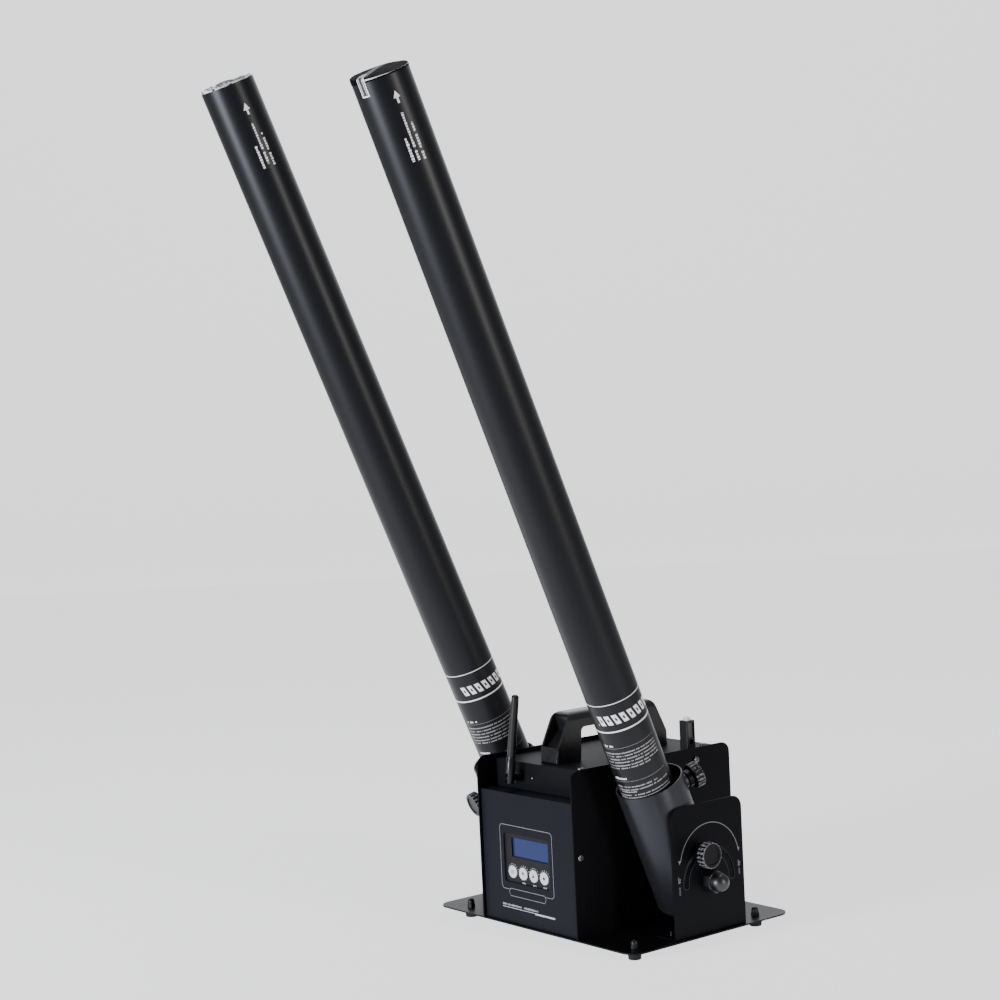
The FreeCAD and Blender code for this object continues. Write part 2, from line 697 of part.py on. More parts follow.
def confetti_charge():
    """The wad that the gas drives, and the paper sleeves packed above it."""
    start = PLUG_DEPTH + CARTRIDGE_L + WAD_GAP
    group = [rod(BORE_R, V(0, 0, start), V(0, 0, start + WAD_H))]
    level = start + WAD_H
    for _ in range(SLEEVE_COUNT):
        bottom = level + SLEEVE_SPACE
        level = bottom + SLEEVE_L
        sleeve = rod(BORE_R - GAP, V(0, 0, bottom), V(0, 0, level))
        group.append(sleeve.cut(rod(SLEEVE_BORE_R, V(0, 0, bottom - 1), V(0, 0, level + 1))))
    return group


def mouth_cover():
    """The thin disc that closes the mouth."""
    return rod(BORE_R, V(0, 0, BARREL_L - COVER_SINK - COVER_T), V(0, 0, BARREL_L - COVER_SINK))


# Control window

BEZEL_FACE = PANEL_FACE + SHEET
BEZEL_BACK = BEZEL_FACE + BEZEL_T
BOARD_FACE = BEZEL_BACK + BOARD_STAND
BUTTON_XS = [BUTTON_MID_X + BUTTON_PITCH * (i - 1.5) for i in range(len(BUTTON_NAMES))]


def window_corners(inset):
    """(x, z) near the four corners of the bezel."""
    half_w = WINDOW_W / 2 + BEZEL_LIP - inset
    half_h = WINDOW_H / 2 + BEZEL_LIP - inset
    middle = PLATE_TOP + WINDOW_Z
    return [(CONTROL_X + a * half_w, middle + b * half_h) for a in (-1, 1) for b in (-1, 1)]


def display_bezel():
    """The plastic bezel behind the window, with the glass opening, button holes and board posts."""
    outline = centred(CONTROL_X, PLATE_TOP + WINDOW_Z, WINDOW_W + 2 * BEZEL_LIP, WINDOW_H + 2 * BEZEL_LIP,
                      WINDOW_R)
    sheet = slab(outline, "XZ", BEZEL_FACE, BEZEL_T)
    posts = [rod(2.4, V(x, BEZEL_FACE + 0.5, z), V(x, BOARD_FACE, z)) for x, z in window_corners(3.0)]
    glass = PLATE_TOP + GLASS_Z
    cuts = [box(GLASS_X - GLASS_W / 2, GLASS_X + GLASS_W / 2, BEZEL_FACE - 1, BEZEL_BACK + 1,
                glass - GLASS_H / 2, glass + GLASS_H / 2)]
    for x in BUTTON_XS:
        spot = V(x, BEZEL_FACE - 1, PLATE_TOP + BUTTON_Z)
        cuts.append(rod(BUTTON_R + GAP, spot, spot + Y_AXIS * (BEZEL_T + 2)))
    return drilled(fused([sheet] + posts), cuts)


def display_glass():
    """The display module, lying against the bezel's back."""
    glass = PLATE_TOP + GLASS_Z
    return box(GLASS_X - GLASS_W / 2 - 2, GLASS_X + GLASS_W / 2 + 2, BEZEL_BACK, BEZEL_BACK + GLASS_T,
               glass - GLASS_H / 2 - 2, glass + GLASS_H / 2 + 2)


def button(x):
    """A round key: cap through the bezel, a skirt behind it and a stem towards its switch."""
    z = PLATE_TOP + BUTTON_Z
    front = BEZEL_FACE - BUTTON_PROUD
    key = turned([(0, 0, 0), (BUTTON_R, 0, 0), (BUTTON_R, BEZEL_T + BUTTON_PROUD + GAP, 0.5),
                  (0, BEZEL_T + BUTTON_PROUD + GAP, 0)])
    key = aimed(key, V(x, BEZEL_BACK + GAP, z), V(0, -1, 0))
    skirt = rod(BUTTON_R + 1, V(x, BEZEL_BACK + GAP, z), V(x, BEZEL_BACK + GAP + BUTTON_SKIRT, z))
    stem_end = BOARD_FACE - SWITCH_H - BUTTON_TRAVEL - GAP
    stem = rod(BUTTON_STEM_R, V(x, front + 1, z), V(x, stem_end, z))
    return fused([key, skirt, stem])


def control_board():
    """The board behind the bezel, with a switch under each key."""
    middle = PLATE_TOP + WINDOW_Z
    half_w = WINDOW_W / 2 + BEZEL_LIP
    half_h = WINDOW_H / 2 + BEZEL_LIP
    parts = [box(CONTROL_X - half_w, CONTROL_X + half_w, BOARD_FACE, BOARD_FACE + BOARD_T,
                 middle - half_h, middle + half_h)]
    z = PLATE_TOP + BUTTON_Z
    for x in BUTTON_XS:
        parts.append(box(x - 3, x + 3, BOARD_FACE - SWITCH_H, BOARD_FACE + 0.5, z - 3, z + 3))
    glass = PLATE_TOP + GLASS_Z
    parts.append(box(CONTROL_X - 20, CONTROL_X + 20, BEZEL_BACK + GLASS_T + SKIN, BOARD_FACE + 0.5,
                     glass + GLASS_H / 2 - 3, glass + GLASS_H / 2))
    chip = box(CONTROL_X - 7, CONTROL_X + 7, BOARD_FACE, BOARD_FACE + BOARD_T + 3, middle - 7, middle + 7)
    parts.append(chip)
    return fused(parts)


# Carry handle

def handle_screw_ys():
    """Places of the two screws that hold the handle from inside."""
    step = HANDLE_Y / 2 - HANDLE_FOOT_Y / 2
    return (HANDLE_MID_Y - step, HANDLE_MID_Y + step)


def handle_profile():
    """Side outline of the handle as (y, z, corner radius), from the front foot round to the rear."""
    half = HANDLE_Y / 2
    inner = half - HANDLE_FOOT_Y
    base = COVER_TOP
    grip = base + HANDLE_H - HANDLE_GRIP_T
    top = base + HANDLE_H
    right = [(inner, base, 1), (half, base, 1.5), (half - 2, base + HANDLE_BLOCK_H, 2),
             (half - HANDLE_TOP_IN, top, HANDLE_ROUND_R)]
    left = [(-y, z, r) for y, z, r in reversed(right)]
    points = right + left + [(-inner + 2, grip, 5), (inner - 2, grip, 5)]
    return [(HANDLE_MID_Y + y, z, r) for y, z, r in points]


def carry_handle():
    """A moulded handle: two feet, sloping risers with scooped ends, and a rounded grip."""
    half = HANDLE_X / 2
    body = slab(handle_profile(), "YZ", -half, HANDLE_X)
    y0 = HANDLE_MID_Y - HANDLE_Y / 2 - 1
    y1 = HANDLE_MID_Y + HANDLE_Y / 2 + 1
    top = COVER_TOP + HANDLE_H
    section = [(-half, COVER_TOP - 1, 0), (half, COVER_TOP - 1, 0), (half, top, HANDLE_ROUND_R),
               (-half, top, HANDLE_ROUND_R)]
    body = body.common(slab(section, "XZ", y0, y1 - y0))
    body = body.common(slab(rectangle(-half, half, y0 + 1, y1 - 1, 4.0), "XY", COVER_TOP - 1, HANDLE_H + 2))
    step = HANDLE_Y / 2
    rise = HANDLE_H - HANDLE_ROUND_R * 0.6
    foot = HANDLE_BLOCK_H + 1.5
    slope_y = step - HANDLE_TOP_IN + HANDLE_ROUND_R * 0.25
    scoop = [(step + 2, foot, 0), (step + 2, rise + 6, 0), (slope_y, rise + 6, 0), (slope_y - 3, rise, 2),
             (slope_y - HANDLE_SCOOP, rise - HANDLE_SCOOP * 2, 4), (step - 2 - HANDLE_SCOOP, foot, 2)]
    cuts = []
    for sign in (1, -1):
        points = [(HANDLE_MID_Y + sign * y, COVER_TOP + z, r) for y, z, r in scoop]
        cuts.append(slab(points, "YZ", -half + HANDLE_RIB, HANDLE_X - 2 * HANDLE_RIB))
    for y in handle_screw_ys():
        cuts.append(rod(M4_R + SKIN, V(0, y, COVER_TOP - 1), V(0, y, COVER_TOP + 9)))
    return drilled(body, cuts)


def handle_screws():
    screw = pan_screw(M4_R, M4_HEAD_R, M4_HEAD_H, SHEET + 8)
    return [aimed(screw, V(0, y, COVER_TOP - SHEET), V(0, 0, -1)) for y in handle_screw_ys()]


# Igniter terminals, drawn on the cover at the right-hand place

def terminal_body():
    """A square post, hollow for its plunger, with a wire hole, two windows and a fixing stud."""
    half = TERMINAL_W / 2
    post = slab(rectangle(-half, half, -half, half, 1.0), "XY", 0, TERMINAL_H)
    stud = rod(M3_R, V(0, 0, -SHEET - 4), V(0, 0, 1))
    hollow = half - TERMINAL_WALL
    window_top = TERMINAL_WINDOW_Z + TERMINAL_WINDOW_H
    cuts = [box(-hollow, hollow, -hollow, hollow, 3.5, TERMINAL_H + 1),
            rod(TERMINAL_HOLE_R, V(-half - 1, 0, TERMINAL_HOLE_Z), V(half + 1, 0, TERMINAL_HOLE_Z)),
            box(-half - 1, half + 1, -hollow, hollow, TERMINAL_WINDOW_Z, window_top)]
    body = drilled(fused([post, stud]), cuts)
    body.translate(V(TERMINAL_X, TERMINAL_Y, COVER_TOP))
    return body


def terminal_plunger():
    """The sprung slider that grips the igniter's wire."""
    slide = TERMINAL_W / 2 - TERMINAL_WALL - GAP
    low = 3.5 + TERMINAL_TRAVEL + GAP + 4.0
    body = box(-slide, slide, -slide, slide, low, TERMINAL_H - 1)
    nose = rod(1.8, V(0, 0, low - 4.0), V(0, 0, low + 1))
    body = fused([body, nose])
    body.translate(V(TERMINAL_X, TERMINAL_Y, COVER_TOP))
    return body


def terminal_cap():
    """The bright domed button on the slider."""
    base = TERMINAL_H - 1 + SKIN
    rise = TERMINAL_CAP_H + 1
    slide = TERMINAL_W / 2 - TERMINAL_WALL - GAP
    low = turned([(0, 0, 0), (slide, 0, 0), (slide, rise, 1.6), (0, rise, 0)])
    low.translate(V(TERMINAL_X, TERMINAL_Y, COVER_TOP + base))
    return low


def mirrored(shape):
    return shape.mirror(V(0, 0, 0), X_AXIS)


# Radio aerial

AERIAL_AT = V(AERIAL_X, STRIP_FACE, COVER_TOP - AERIAL_DROP)
AERIAL_PIN_Y = STRIP_FACE - AERIAL_REACH


def antenna_socket():
    """The threaded socket in the strip, with its nut in front and flange behind."""
    nut = aimed(hexagon(AERIAL_NUT_ACROSS, AERIAL_NUT_T), AERIAL_AT, V(0, -1, 0))
    barrel = rod(3.0, AERIAL_AT + Y_AXIS * (SHEET + 1), AERIAL_AT - Y_AXIS * (AERIAL_NUT_T + 3.0))
    flange = rod(4.5, AERIAL_AT + Y_AXIS * SHEET, AERIAL_AT + Y_AXIS * (SHEET + 5))
    return fused([nut, barrel, flange])


def leaned(shape):
    """Turn an aerial piece about its socket's axis to its resting lean."""
    result = shape.copy()
    result.rotate(AERIAL_AT, Y_AXIS, AERIAL_LEAN)
    return result


def antenna_elbow():
    """The sleeve that screws on the socket, with a tongue and a cross pin for the mast."""
    back = AERIAL_AT - Y_AXIS * (AERIAL_NUT_T + GAP)
    front = back - Y_AXIS * AERIAL_SLEEVE_L
    sleeve = rod(AERIAL_SLEEVE_R, back, front).cut(rod(3.0 + FIT, back + Y_AXIS, back - Y_AXIS * 3.4))
    pin_at = V(AERIAL_X, AERIAL_PIN_Y, AERIAL_AT.z)
    half = AERIAL_TONGUE / 2
    neck = box(AERIAL_X - half, AERIAL_X + half, AERIAL_PIN_Y, front.y + 1,
               AERIAL_AT.z - AERIAL_EYE_R, AERIAL_AT.z + AERIAL_EYE_R)
    eye = rod(AERIAL_EYE_R, pin_at - X_AXIS * half, pin_at + X_AXIS * half)
    reach = X_AXIS * (AERIAL_FOOT_R - 0.4)
    pin = rod(AERIAL_PIN_R, pin_at - reach, pin_at + reach)
    return leaned(fused([sleeve, neck, eye, pin]))


def antenna_mast():
    """The aerial's stick, slotted round the elbow's tongue, its heel rounded to clear the sleeve."""
    pin_at = V(AERIAL_X, AERIAL_PIN_Y, AERIAL_AT.z)
    stick = turned([(0, -AERIAL_FOOT_R, 0), (AERIAL_FOOT_R, -AERIAL_FOOT_R, 0.4),
                    (AERIAL_FOOT_R, AERIAL_STEP, 0), (AERIAL_FOOT_R - 0.4, AERIAL_STEP + 0.6, 0),
                    (AERIAL_TIP_R, AERIAL_L, AERIAL_TIP_R * 0.8), (0, AERIAL_L, 0)])
    stick.translate(pin_at)
    heel = box(AERIAL_X - 10, AERIAL_X + 10, AERIAL_PIN_Y, AERIAL_PIN_Y + 10, AERIAL_AT.z - 10, AERIAL_AT.z)
    heel = heel.cut(rod(AERIAL_FOOT_R, pin_at - X_AXIS * 11, pin_at + X_AXIS * 11))
    half = AERIAL_TONGUE / 2 + GAP
    slot = box(AERIAL_X - half, AERIAL_X + half, AERIAL_PIN_Y - 10, AERIAL_PIN_Y + 10,
               AERIAL_AT.z - 10, AERIAL_AT.z + AERIAL_EYE_R + GAP + 1.2)
    hole = rod(AERIAL_PIN_R + FIT, pin_at - X_AXIS * 10, pin_at + X_AXIS * 10)
    return leaned(drilled(stick, [slot, hole, heel]))


def status_led():
    """The small lamp beside the aerial."""
    at = V(LED_X, STRIP_FACE, COVER_TOP - LED_DROP)
    lens = turned([(0, 0, 0), (LED_R, 0, 0), (LED_R, SHEET + 1.6, LED_R * 0.9), (0, SHEET + 1.6, 0)])
    flange = rod(LED_R + 0.6, V(0, 0, -1.2), V(0, 0, 0))
    return aimed(fused([lens, flange]), at + Y_AXIS * SHEET, V(0, -1, 0))


# Rear sockets

def mains_inlet():
    """A three-pin mains inlet with its flange outside and its body inside."""
    z = PLATE_TOP + INLET_Z
    face = REAR_FACE + 2.2
    flange = slab(centred(INLET_X, z, INLET_W, INLET_H, 3.0), "XZ", REAR_FACE, 2.2)
    half_w = INLET_MOUTH_W / 2
    half_h = INLET_MOUTH_H / 2
    body = box(INLET_X - half_w - 1.8, INLET_X + half_w + 1.8, face - INLET_DEPTH - 2, REAR_FACE + 1,
               z - half_h - 1.8, z + half_h + 1.8)
    mouth = [(INLET_X - half_w, z - half_h, 1), (INLET_X + half_w, z - half_h, 1),
             (INLET_X + half_w, z + half_h - 4, 1), (INLET_X + half_w - 4, z + half_h, 1),
             (INLET_X - half_w + 4, z + half_h, 1), (INLET_X - half_w, z + half_h - 4, 1)]
    shell = drilled(fused([flange, body]), [slab(mouth, "XZ", face - INLET_DEPTH, INLET_DEPTH + 1)])
    pins = []
    for dx, dz in ((-7, -1.5), (7, -1.5), (0, 2.5)):
        blade = centred(INLET_X + dx, z + dz, 2.0, 4.0)
        pins.append(slab(blade, "XZ", face - INLET_DEPTH - 1, INLET_DEPTH - 5.5))
    return fused([shell] + pins)


def switch_frame():
    """The rocker switch's frame and case."""
    z = PLATE_TOP + INLET_Z
    half_w = ROCKER_W / 2 + 1.4
    half_h = ROCKER_H / 2 + 1.4
    flange = slab(centred(ROCKER_X, z, 2 * half_w + 3.2, 2 * half_h + 3.2, 1.5), "XZ", REAR_FACE, 1.8)
    case = box(ROCKER_X - half_w, ROCKER_X + half_w, REAR_FACE - 14, REAR_FACE + 1, z - half_h, z + half_h)
    well = box(ROCKER_X - ROCKER_W / 2 - GAP, ROCKER_X + ROCKER_W / 2 + GAP, REAR_FACE - 9, REAR_FACE + 3,
               z - ROCKER_H / 2 - GAP, z + ROCKER_H / 2 + GAP)
    pin = V(ROCKER_X, REAR_FACE - 2.5, z)
    axle = rod(1.5, pin - X_AXIS * half_w, pin + X_AXIS * half_w)
    return fused([drilled(fused([flange, case]), [well]), axle])


def switch_rocker():
    """The rocker, drawn at its OFF position on its axle."""
    z = PLATE_TOP + INLET_Z
    pin = V(ROCKER_X, REAR_FACE - 2.5, z)
    tall = ROCKER_H / 2 - 0.6
    wing = [(pin.y - 3.2, z - 4.5, 1), (pin.y - 3.2, z + 4.5, 1), (REAR_FACE + 1.6, z + tall, 0.8),
            (REAR_FACE + 4.2, z + tall, 0.8), (REAR_FACE + 2.0, z, 6), (REAR_FACE + 4.2, z - tall, 0.8),
            (REAR_FACE + 1.6, z - tall, 0.8)]
    body = slab(wing, "YZ", ROCKER_X - ROCKER_W / 2, ROCKER_W)
    body = drilled(body, [rod(1.5 + FIT, pin - X_AXIS * ROCKER_W, pin + X_AXIS * ROCKER_W)])
    body.rotate(pin, X_AXIS, -ROCKER_TILT)
    return body


def dmx_socket(x, male):
    """A round three-pin data socket. The input holds pins, the output holds a holed insert."""
    z = PLATE_TOP + DMX_Z
    face = REAR_FACE + 2.0
    flange = slab(centred(x, z, DMX_FLANGE_W, DMX_FLANGE_H, 3.0), "XZ", REAR_FACE, 2.0)
    case = rod(DMX_R, V(x, face - DMX_DEPTH - 2, z), V(x, face, z))
    well = rod(DMX_R - 1.8, V(x, face - DMX_DEPTH, z), V(x, face + 1, z))
    body = drilled(fused([flange, case]), [well])
    corners = [rod(1.7, V(x + a * 10, REAR_FACE - 1, z + b * 12.5), V(x + a * 10, face + 1, z + b * 12.5))
               for a, b in ((-1, 1), (1, -1))]
    body = drilled(body, corners)
    places = []
    for turn in (20, 160, 270):
        angle = math.radians(turn)
        places.append(V(x + 3.8 * math.cos(angle), 0, z + 3.8 * math.sin(angle)))
    if male:
        pins = [rod(1.2, p + Y_AXIS * (face - DMX_DEPTH - 1), p + Y_AXIS * (face - 6.0)) for p in places]
        return fused([body] + pins)
    insert = rod(DMX_R - 3.4, V(x, face - DMX_DEPTH - 1, z), V(x, face - 0.6, z))
    holes = [rod(1.3, p + Y_AXIS * (face - 10), p + Y_AXIS * (face + 1)) for p in places]
    return drilled(fused([body, insert]), holes)


# Inner boards

def board_corners(size, y, inset=5.0):
    """(x, y) of a floor-mounted board's four fixing places."""
    return [(a * (size[0] / 2 - inset), y + b * (size[1] / 2 - inset)) for a in (-1, 1) for b in (-1, 1)]


def board_standoffs():
    group = []
    for size, y in ((SUPPLY, SUPPLY_Y), (FIRING, FIRING_Y)):
        for x, place in board_corners(size, y):
            group.append(rod(STANDOFF_R, V(x, place, PLATE_TOP), V(x, place, PLATE_TOP + STANDOFF_H)))
    return group


def power_supply():
    """The mains supply: board, transformer, two capacitors and a heat sink with fins."""
    level = PLATE_TOP + STANDOFF_H
    half_x = SUPPLY[0] / 2
    half_y = SUPPLY[1] / 2
    top = level + SUPPLY[2]
    parts = [box(-half_x, half_x, SUPPLY_Y - half_y, SUPPLY_Y + half_y, level, level + BOARD_T),
             box(-half_x * 0.4, half_x * 0.3, SUPPLY_Y - 14, SUPPLY_Y + 14, level + 1, top - 6),
             box(half_x - 12, half_x - 9, SUPPLY_Y - half_y * 0.8, SUPPLY_Y + half_y * 0.8, level + 1, top)]
    for i in range(4):
        y = SUPPLY_Y - half_y * 0.8 + i * half_y * 0.5
        parts.append(box(half_x - 10, half_x - 3, y, y + 2, level + 1, top))
    for y in (SUPPLY_Y - 16, SUPPLY_Y + 8):
        parts.append(rod(8, V(-half_x + 14, y, level + 1), V(-half_x + 14, y, top - 4)))
    return fused(parts)


def firing_board():
    """The firing board: relays, a storage capacitor and its terminal strip."""
    level = PLATE_TOP + STANDOFF_H
    half_x = FIRING[0] / 2
    half_y = FIRING[1] / 2
    parts = [box(-half_x, half_x, FIRING_Y - half_y, FIRING_Y + half_y, level, level + BOARD_T)]
    for x in (-26, -4):
        parts.append(box(x - 9, x + 9, FIRING_Y - 18, FIRING_Y + 10, level + 1, level + FIRING[2] * 0.7))
    parts.append(rod(9, V(26, FIRING_Y - 8, level + 1), V(26, FIRING_Y - 8, level + FIRING[2])))
    strip_x = half_x - 12
    strip_y = FIRING_Y + half_y - 12
    parts.append(box(-strip_x, strip_x, strip_y, strip_y + 9, level + 1, level + 10))
    return fused(parts)


def radio_receiver():
    """The small receiver board carried by the aerial socket's flange."""
    y = STRIP_FACE + SHEET + 5
    z = AERIAL_AT.z
    parts = [box(AERIAL_X - 16, AERIAL_X + 16, y, y + BOARD_T, z - 12, z + 9),
             box(AERIAL_X - 9, AERIAL_X + 9, y + 1, y + BOARD_T + 3, z - 8, z + 6)]
    return fused(parts)


# Build everything

os.makedirs("parts", exist_ok=True)

saved("base_plate", [base_plate()])
saved("rubber_feet", [rubber_foot(x, y) for x, y in FEET])
saved("foot_screws", [foot_screw(x, y) for x, y in FEET])
saved("foot_cap_nuts", [foot_cap_nut(x, y) for x, y in FEET])
saved("floor_screws", [floor_screw(x, y) for x, y in bracket_screw_places() + housing_screw_places()])
saved("housing_screws", side_screws())
saved("front_panel", [front_panel()])
saved("top_cover", [top_cover()])
saved("rear_panel", [rear_panel()])
for side, sign in SIDES.items():
    saved(side + "_side_plate", [side_plate(sign)])
    saved(side + "_bracket", [bracket(sign)])
    saved(side + "_holder_tube", [in_holder(holder_tube(side), side)])
    saved(side + "_pivot_cap_nut", [in_holder(pivot_cap_nut(), side)])
    saved(side + "_tilt_knob", [in_holder(tilt_knob(), side)])
    saved(side + "_barrel_knob", [in_holder(barrel_knob(side), side)])
    saved(side + "_barrel_tube", [in_barrel(barrel_tube(), side)])
    saved(side + "_base_plug", [in_barrel(base_plug(), side)])
    saved(side + "_gas_cartridge", [in_barrel(gas_cartridge(), side)])
    saved(side + "_confetti_charge", [in_barrel(piece, side) for piece in confetti_charge()])
    saved(side + "_mouth_cover", [in_barrel(mouth_cover(), side)])
saved("display_bezel", [display_bezel()])
saved("display_glass", [display_glass()])
for name, x in zip(BUTTON_NAMES, BUTTON_XS):
    saved(name + "_button", [button(x)])
saved("control_board", [control_board()])
saved("carry_handle", [carry_handle()])
saved("handle_screws", handle_screws())
saved("terminal_bodies", [terminal_body(), mirrored(terminal_body())])
saved("right_terminal_plunger", [terminal_plunger()])
saved("left_terminal_plunger", [mirrored(terminal_plunger())])
saved("right_terminal_cap", [terminal_cap()])
saved("left_terminal_cap", [mirrored(terminal_cap())])
saved("antenna_socket", [antenna_socket()])
saved("antenna_elbow", [antenna_elbow()])
saved("antenna_mast", [antenna_mast()])
saved("status_led", [status_led()])
saved("mains_inlet", [mains_inlet()])
saved("switch_frame", [switch_frame()])
saved("switch_rocker", [switch_rocker()])
saved("dmx_in", [dmx_socket(DMX_XS[0], True)])
saved("dmx_out", [dmx_socket(DMX_XS[1], False)])
saved("power_supply", [power_supply()])
saved("firing_board", [firing_board()])
saved("radio_receiver", [radio_receiver()])
saved("board_standoffs", board_standoffs())
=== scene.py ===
# %% [markdown]
# # Twin-barrel confetti blower
# Two long black tubes stand in leaning metal cups beside a folded-steel control box.
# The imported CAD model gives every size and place. This file dresses it: softened
# edges, printed marks, films, knobs and light. Each step says what the real piece
# is, how it could be made, and why this way was chosen.

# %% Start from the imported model
import bpy
import bmesh
import json
import math
from mathutils import Matrix, Vector


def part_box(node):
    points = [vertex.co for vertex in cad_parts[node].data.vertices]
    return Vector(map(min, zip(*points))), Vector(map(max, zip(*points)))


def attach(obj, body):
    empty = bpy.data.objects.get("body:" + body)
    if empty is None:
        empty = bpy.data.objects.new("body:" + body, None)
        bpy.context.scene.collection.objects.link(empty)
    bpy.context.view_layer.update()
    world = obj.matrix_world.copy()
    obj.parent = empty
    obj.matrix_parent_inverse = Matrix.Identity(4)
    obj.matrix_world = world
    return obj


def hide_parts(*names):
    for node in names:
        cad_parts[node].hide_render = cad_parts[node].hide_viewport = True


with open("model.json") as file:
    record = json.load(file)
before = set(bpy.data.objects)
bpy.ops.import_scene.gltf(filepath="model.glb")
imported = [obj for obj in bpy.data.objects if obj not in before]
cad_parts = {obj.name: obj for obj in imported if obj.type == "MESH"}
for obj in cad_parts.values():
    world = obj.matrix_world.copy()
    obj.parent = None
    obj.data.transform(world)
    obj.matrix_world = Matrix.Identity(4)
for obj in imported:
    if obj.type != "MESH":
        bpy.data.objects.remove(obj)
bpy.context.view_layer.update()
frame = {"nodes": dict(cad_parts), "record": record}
BODY_OF = {node: body for body, nodes in frame["record"]["behaviour"]["bodies"].items() for node in nodes}
SLOT_OF = {row["node"]: row["material_slot"] for row in frame["record"]["subparts"]}

# %% [markdown]
# ## Working by hand, in code
# Blender's operators act on whatever is selected, so a wrong selection is the most
# common fault. Three small helpers keep it clean: one selects a single object, one
# opens edit mode with nothing picked, and one picks faces by a test on their place.

# %% Selection helpers
def only(obj):
    if bpy.context.mode != "OBJECT":
        bpy.ops.object.mode_set(mode="OBJECT")
    bpy.ops.object.select_all(action="DESELECT")
    obj.select_set(True)
    bpy.context.view_layer.objects.active = obj
    return obj


def edit(obj, kind="FACE"):
    only(obj)
    bpy.ops.object.mode_set(mode="EDIT")
    bpy.ops.mesh.select_mode(type=kind)
    bpy.ops.mesh.select_all(action="DESELECT")


def pick(obj, test, kind="faces"):
    mesh = bmesh.from_edit_mesh(obj.data)
    count = 0
    for element in getattr(mesh, kind):
        if kind == "faces":
            spot, direction = element.calc_center_median(), element.normal
        elif kind == "edges":
            spot = (element.verts[0].co + element.verts[1].co) / 2
            direction = element.verts[1].co - element.verts[0].co
        else:
            spot, direction = element.co, element.normal
        if test(spot, direction):
            element.select_set(True)
            count += 1
    bmesh.update_edit_mesh(obj.data)
    return count


def back_to_object():
    bpy.ops.object.mode_set(mode="OBJECT")


def finish_modifier(obj, kind, **settings):
    only(obj)
    modifier = obj.modifiers.new(kind, kind)
    for name, value in settings.items():
        setattr(modifier, name, value)
    bpy.ops.object.modifier_apply(modifier=modifier.name)


def placed(obj, matrix):
    """Bake a place into the mesh, so the object itself stays at the origin."""
    only(obj)
    obj.data.transform(matrix @ obj.matrix_world)
    obj.matrix_world = Matrix.Identity(4)
    return obj


# %% [markdown]
# ## Where the barrels stand
# A barrel leans with its cup and sits a little askew in it. Its label, its film and
# its tape are laid out along its own axis, so each barrel gets a frame: the origin at
# its foot, Z up the tube. The steps are the ones that place it on the real machine:
# the cup's pivot, the cup's lean, then the small play inside the cup.

# %% Barrel frames
PIVOT_X, PIVOT_Y, PIVOT_Z, CUP_LEAN = 0.1054, -0.001, 0.0575, 22.2
TUBE_R = 0.025
BARREL_PLAY = {
    "right": {"seat": -0.0184, "x": -0.00065, "front": 0.0031, "lean": 0.95, "splay": 0.8},
    "left": {"seat": 0.0066, "x": 0.0022, "front": -0.0047, "lean": 0.75, "splay": -1.13},
}


def turn(axis, degrees):
    return Matrix.Rotation(math.radians(degrees), 4, axis)


def barrel_frame(side):
    play = BARREL_PLAY[side]
    pivot = Matrix.Translation((PIVOT_X if side == "right" else -PIVOT_X, PIVOT_Y, PIVOT_Z))
    cup = pivot @ turn("X", CUP_LEAN) @ Matrix.Translation((play["x"], -play["front"], 0))
    return cup @ turn("Y", play["splay"]) @ turn("X", play["lean"]) @ Matrix.Translation((0, 0, play["seat"]))


BARREL = {side: barrel_frame(side) for side in ("right", "left")}
for side, place in BARREL.items():
    corners = [place.inverted() @ point.co for point in frame["nodes"][side + "_barrel_tube"].data.vertices]
    print(side, "tube from", round(min(c.z for c in corners), 4), "to", round(max(c.z for c in corners), 4),
          "radius", round(max(math.hypot(c.x, c.y) for c in corners), 4))

# %% [markdown]
# ## Shader sums as plain Python
# A procedural finish is arithmetic on the point being shaded. Wiring Math nodes by
# hand is slow to read, so `Wire` wraps a socket and lets `+ - * /` add the nodes.
# Numbers that are the same everywhere stay plain numbers on the shader's sockets.

# %% The Wire and Finish classes
class Wire:
    def __init__(self, finish, socket):
        self.finish = finish
        self.socket = socket

    def sum(self, operation, *values, clamp=False):
        node = self.finish.tree.nodes.new("ShaderNodeMath")
        node.operation = operation
        node.use_clamp = clamp
        for slot, value in zip(node.inputs, values):
            self.finish.feed(slot, value)
        return Wire(self.finish, node.outputs[0])

    def __add__(self, other):
        return self.sum("ADD", self, other)

    def __radd__(self, other):
        return self.sum("ADD", other, self)

    def __sub__(self, other):
        return self.sum("SUBTRACT", self, other)

    def __rsub__(self, other):
        return self.sum("SUBTRACT", other, self)

    def __mul__(self, other):
        return self.sum("MULTIPLY", self, other)

    def __rmul__(self, other):
        return self.sum("MULTIPLY", other, self)

    def __truediv__(self, other):
        return self.sum("DIVIDE", self, other)

    def __neg__(self):
        return self.sum("MULTIPLY", self, -1.0)

    def __abs__(self):
        return self.sum("ABSOLUTE", self)

    def max(self, other):
        return self.sum("MAXIMUM", self, other)

    def min(self, other):
        return self.sum("MINIMUM", self, other)

    def floor(self):
        return self.sum("FLOOR", self)

    def part(self):
        return self.sum("FRACT", self)

    def clamp(self):
        return self.sum("ADD", self, 0.0, clamp=True)

    def turned(self, other):
        """The angle of the point (other, self) about the origin, in degrees."""
        return self.sum("ARCTAN2", self, other) * 57.29578

    def below(self, edge, blur=0.0001):
        """1 where this is under the edge, fading to 0 across blur."""
        return self.sum("MULTIPLY_ADD", self, -1.0 / blur, edge / blur + 0.5, clamp=True)

    def above(self, edge, blur=0.0001):
        return self.sum("MULTIPLY_ADD", self, 1.0 / blur, 0.5 - edge / blur, clamp=True)

    def between(self, low, high, blur=0.0001):
        return self.above(low, blur) * self.below(high, blur)


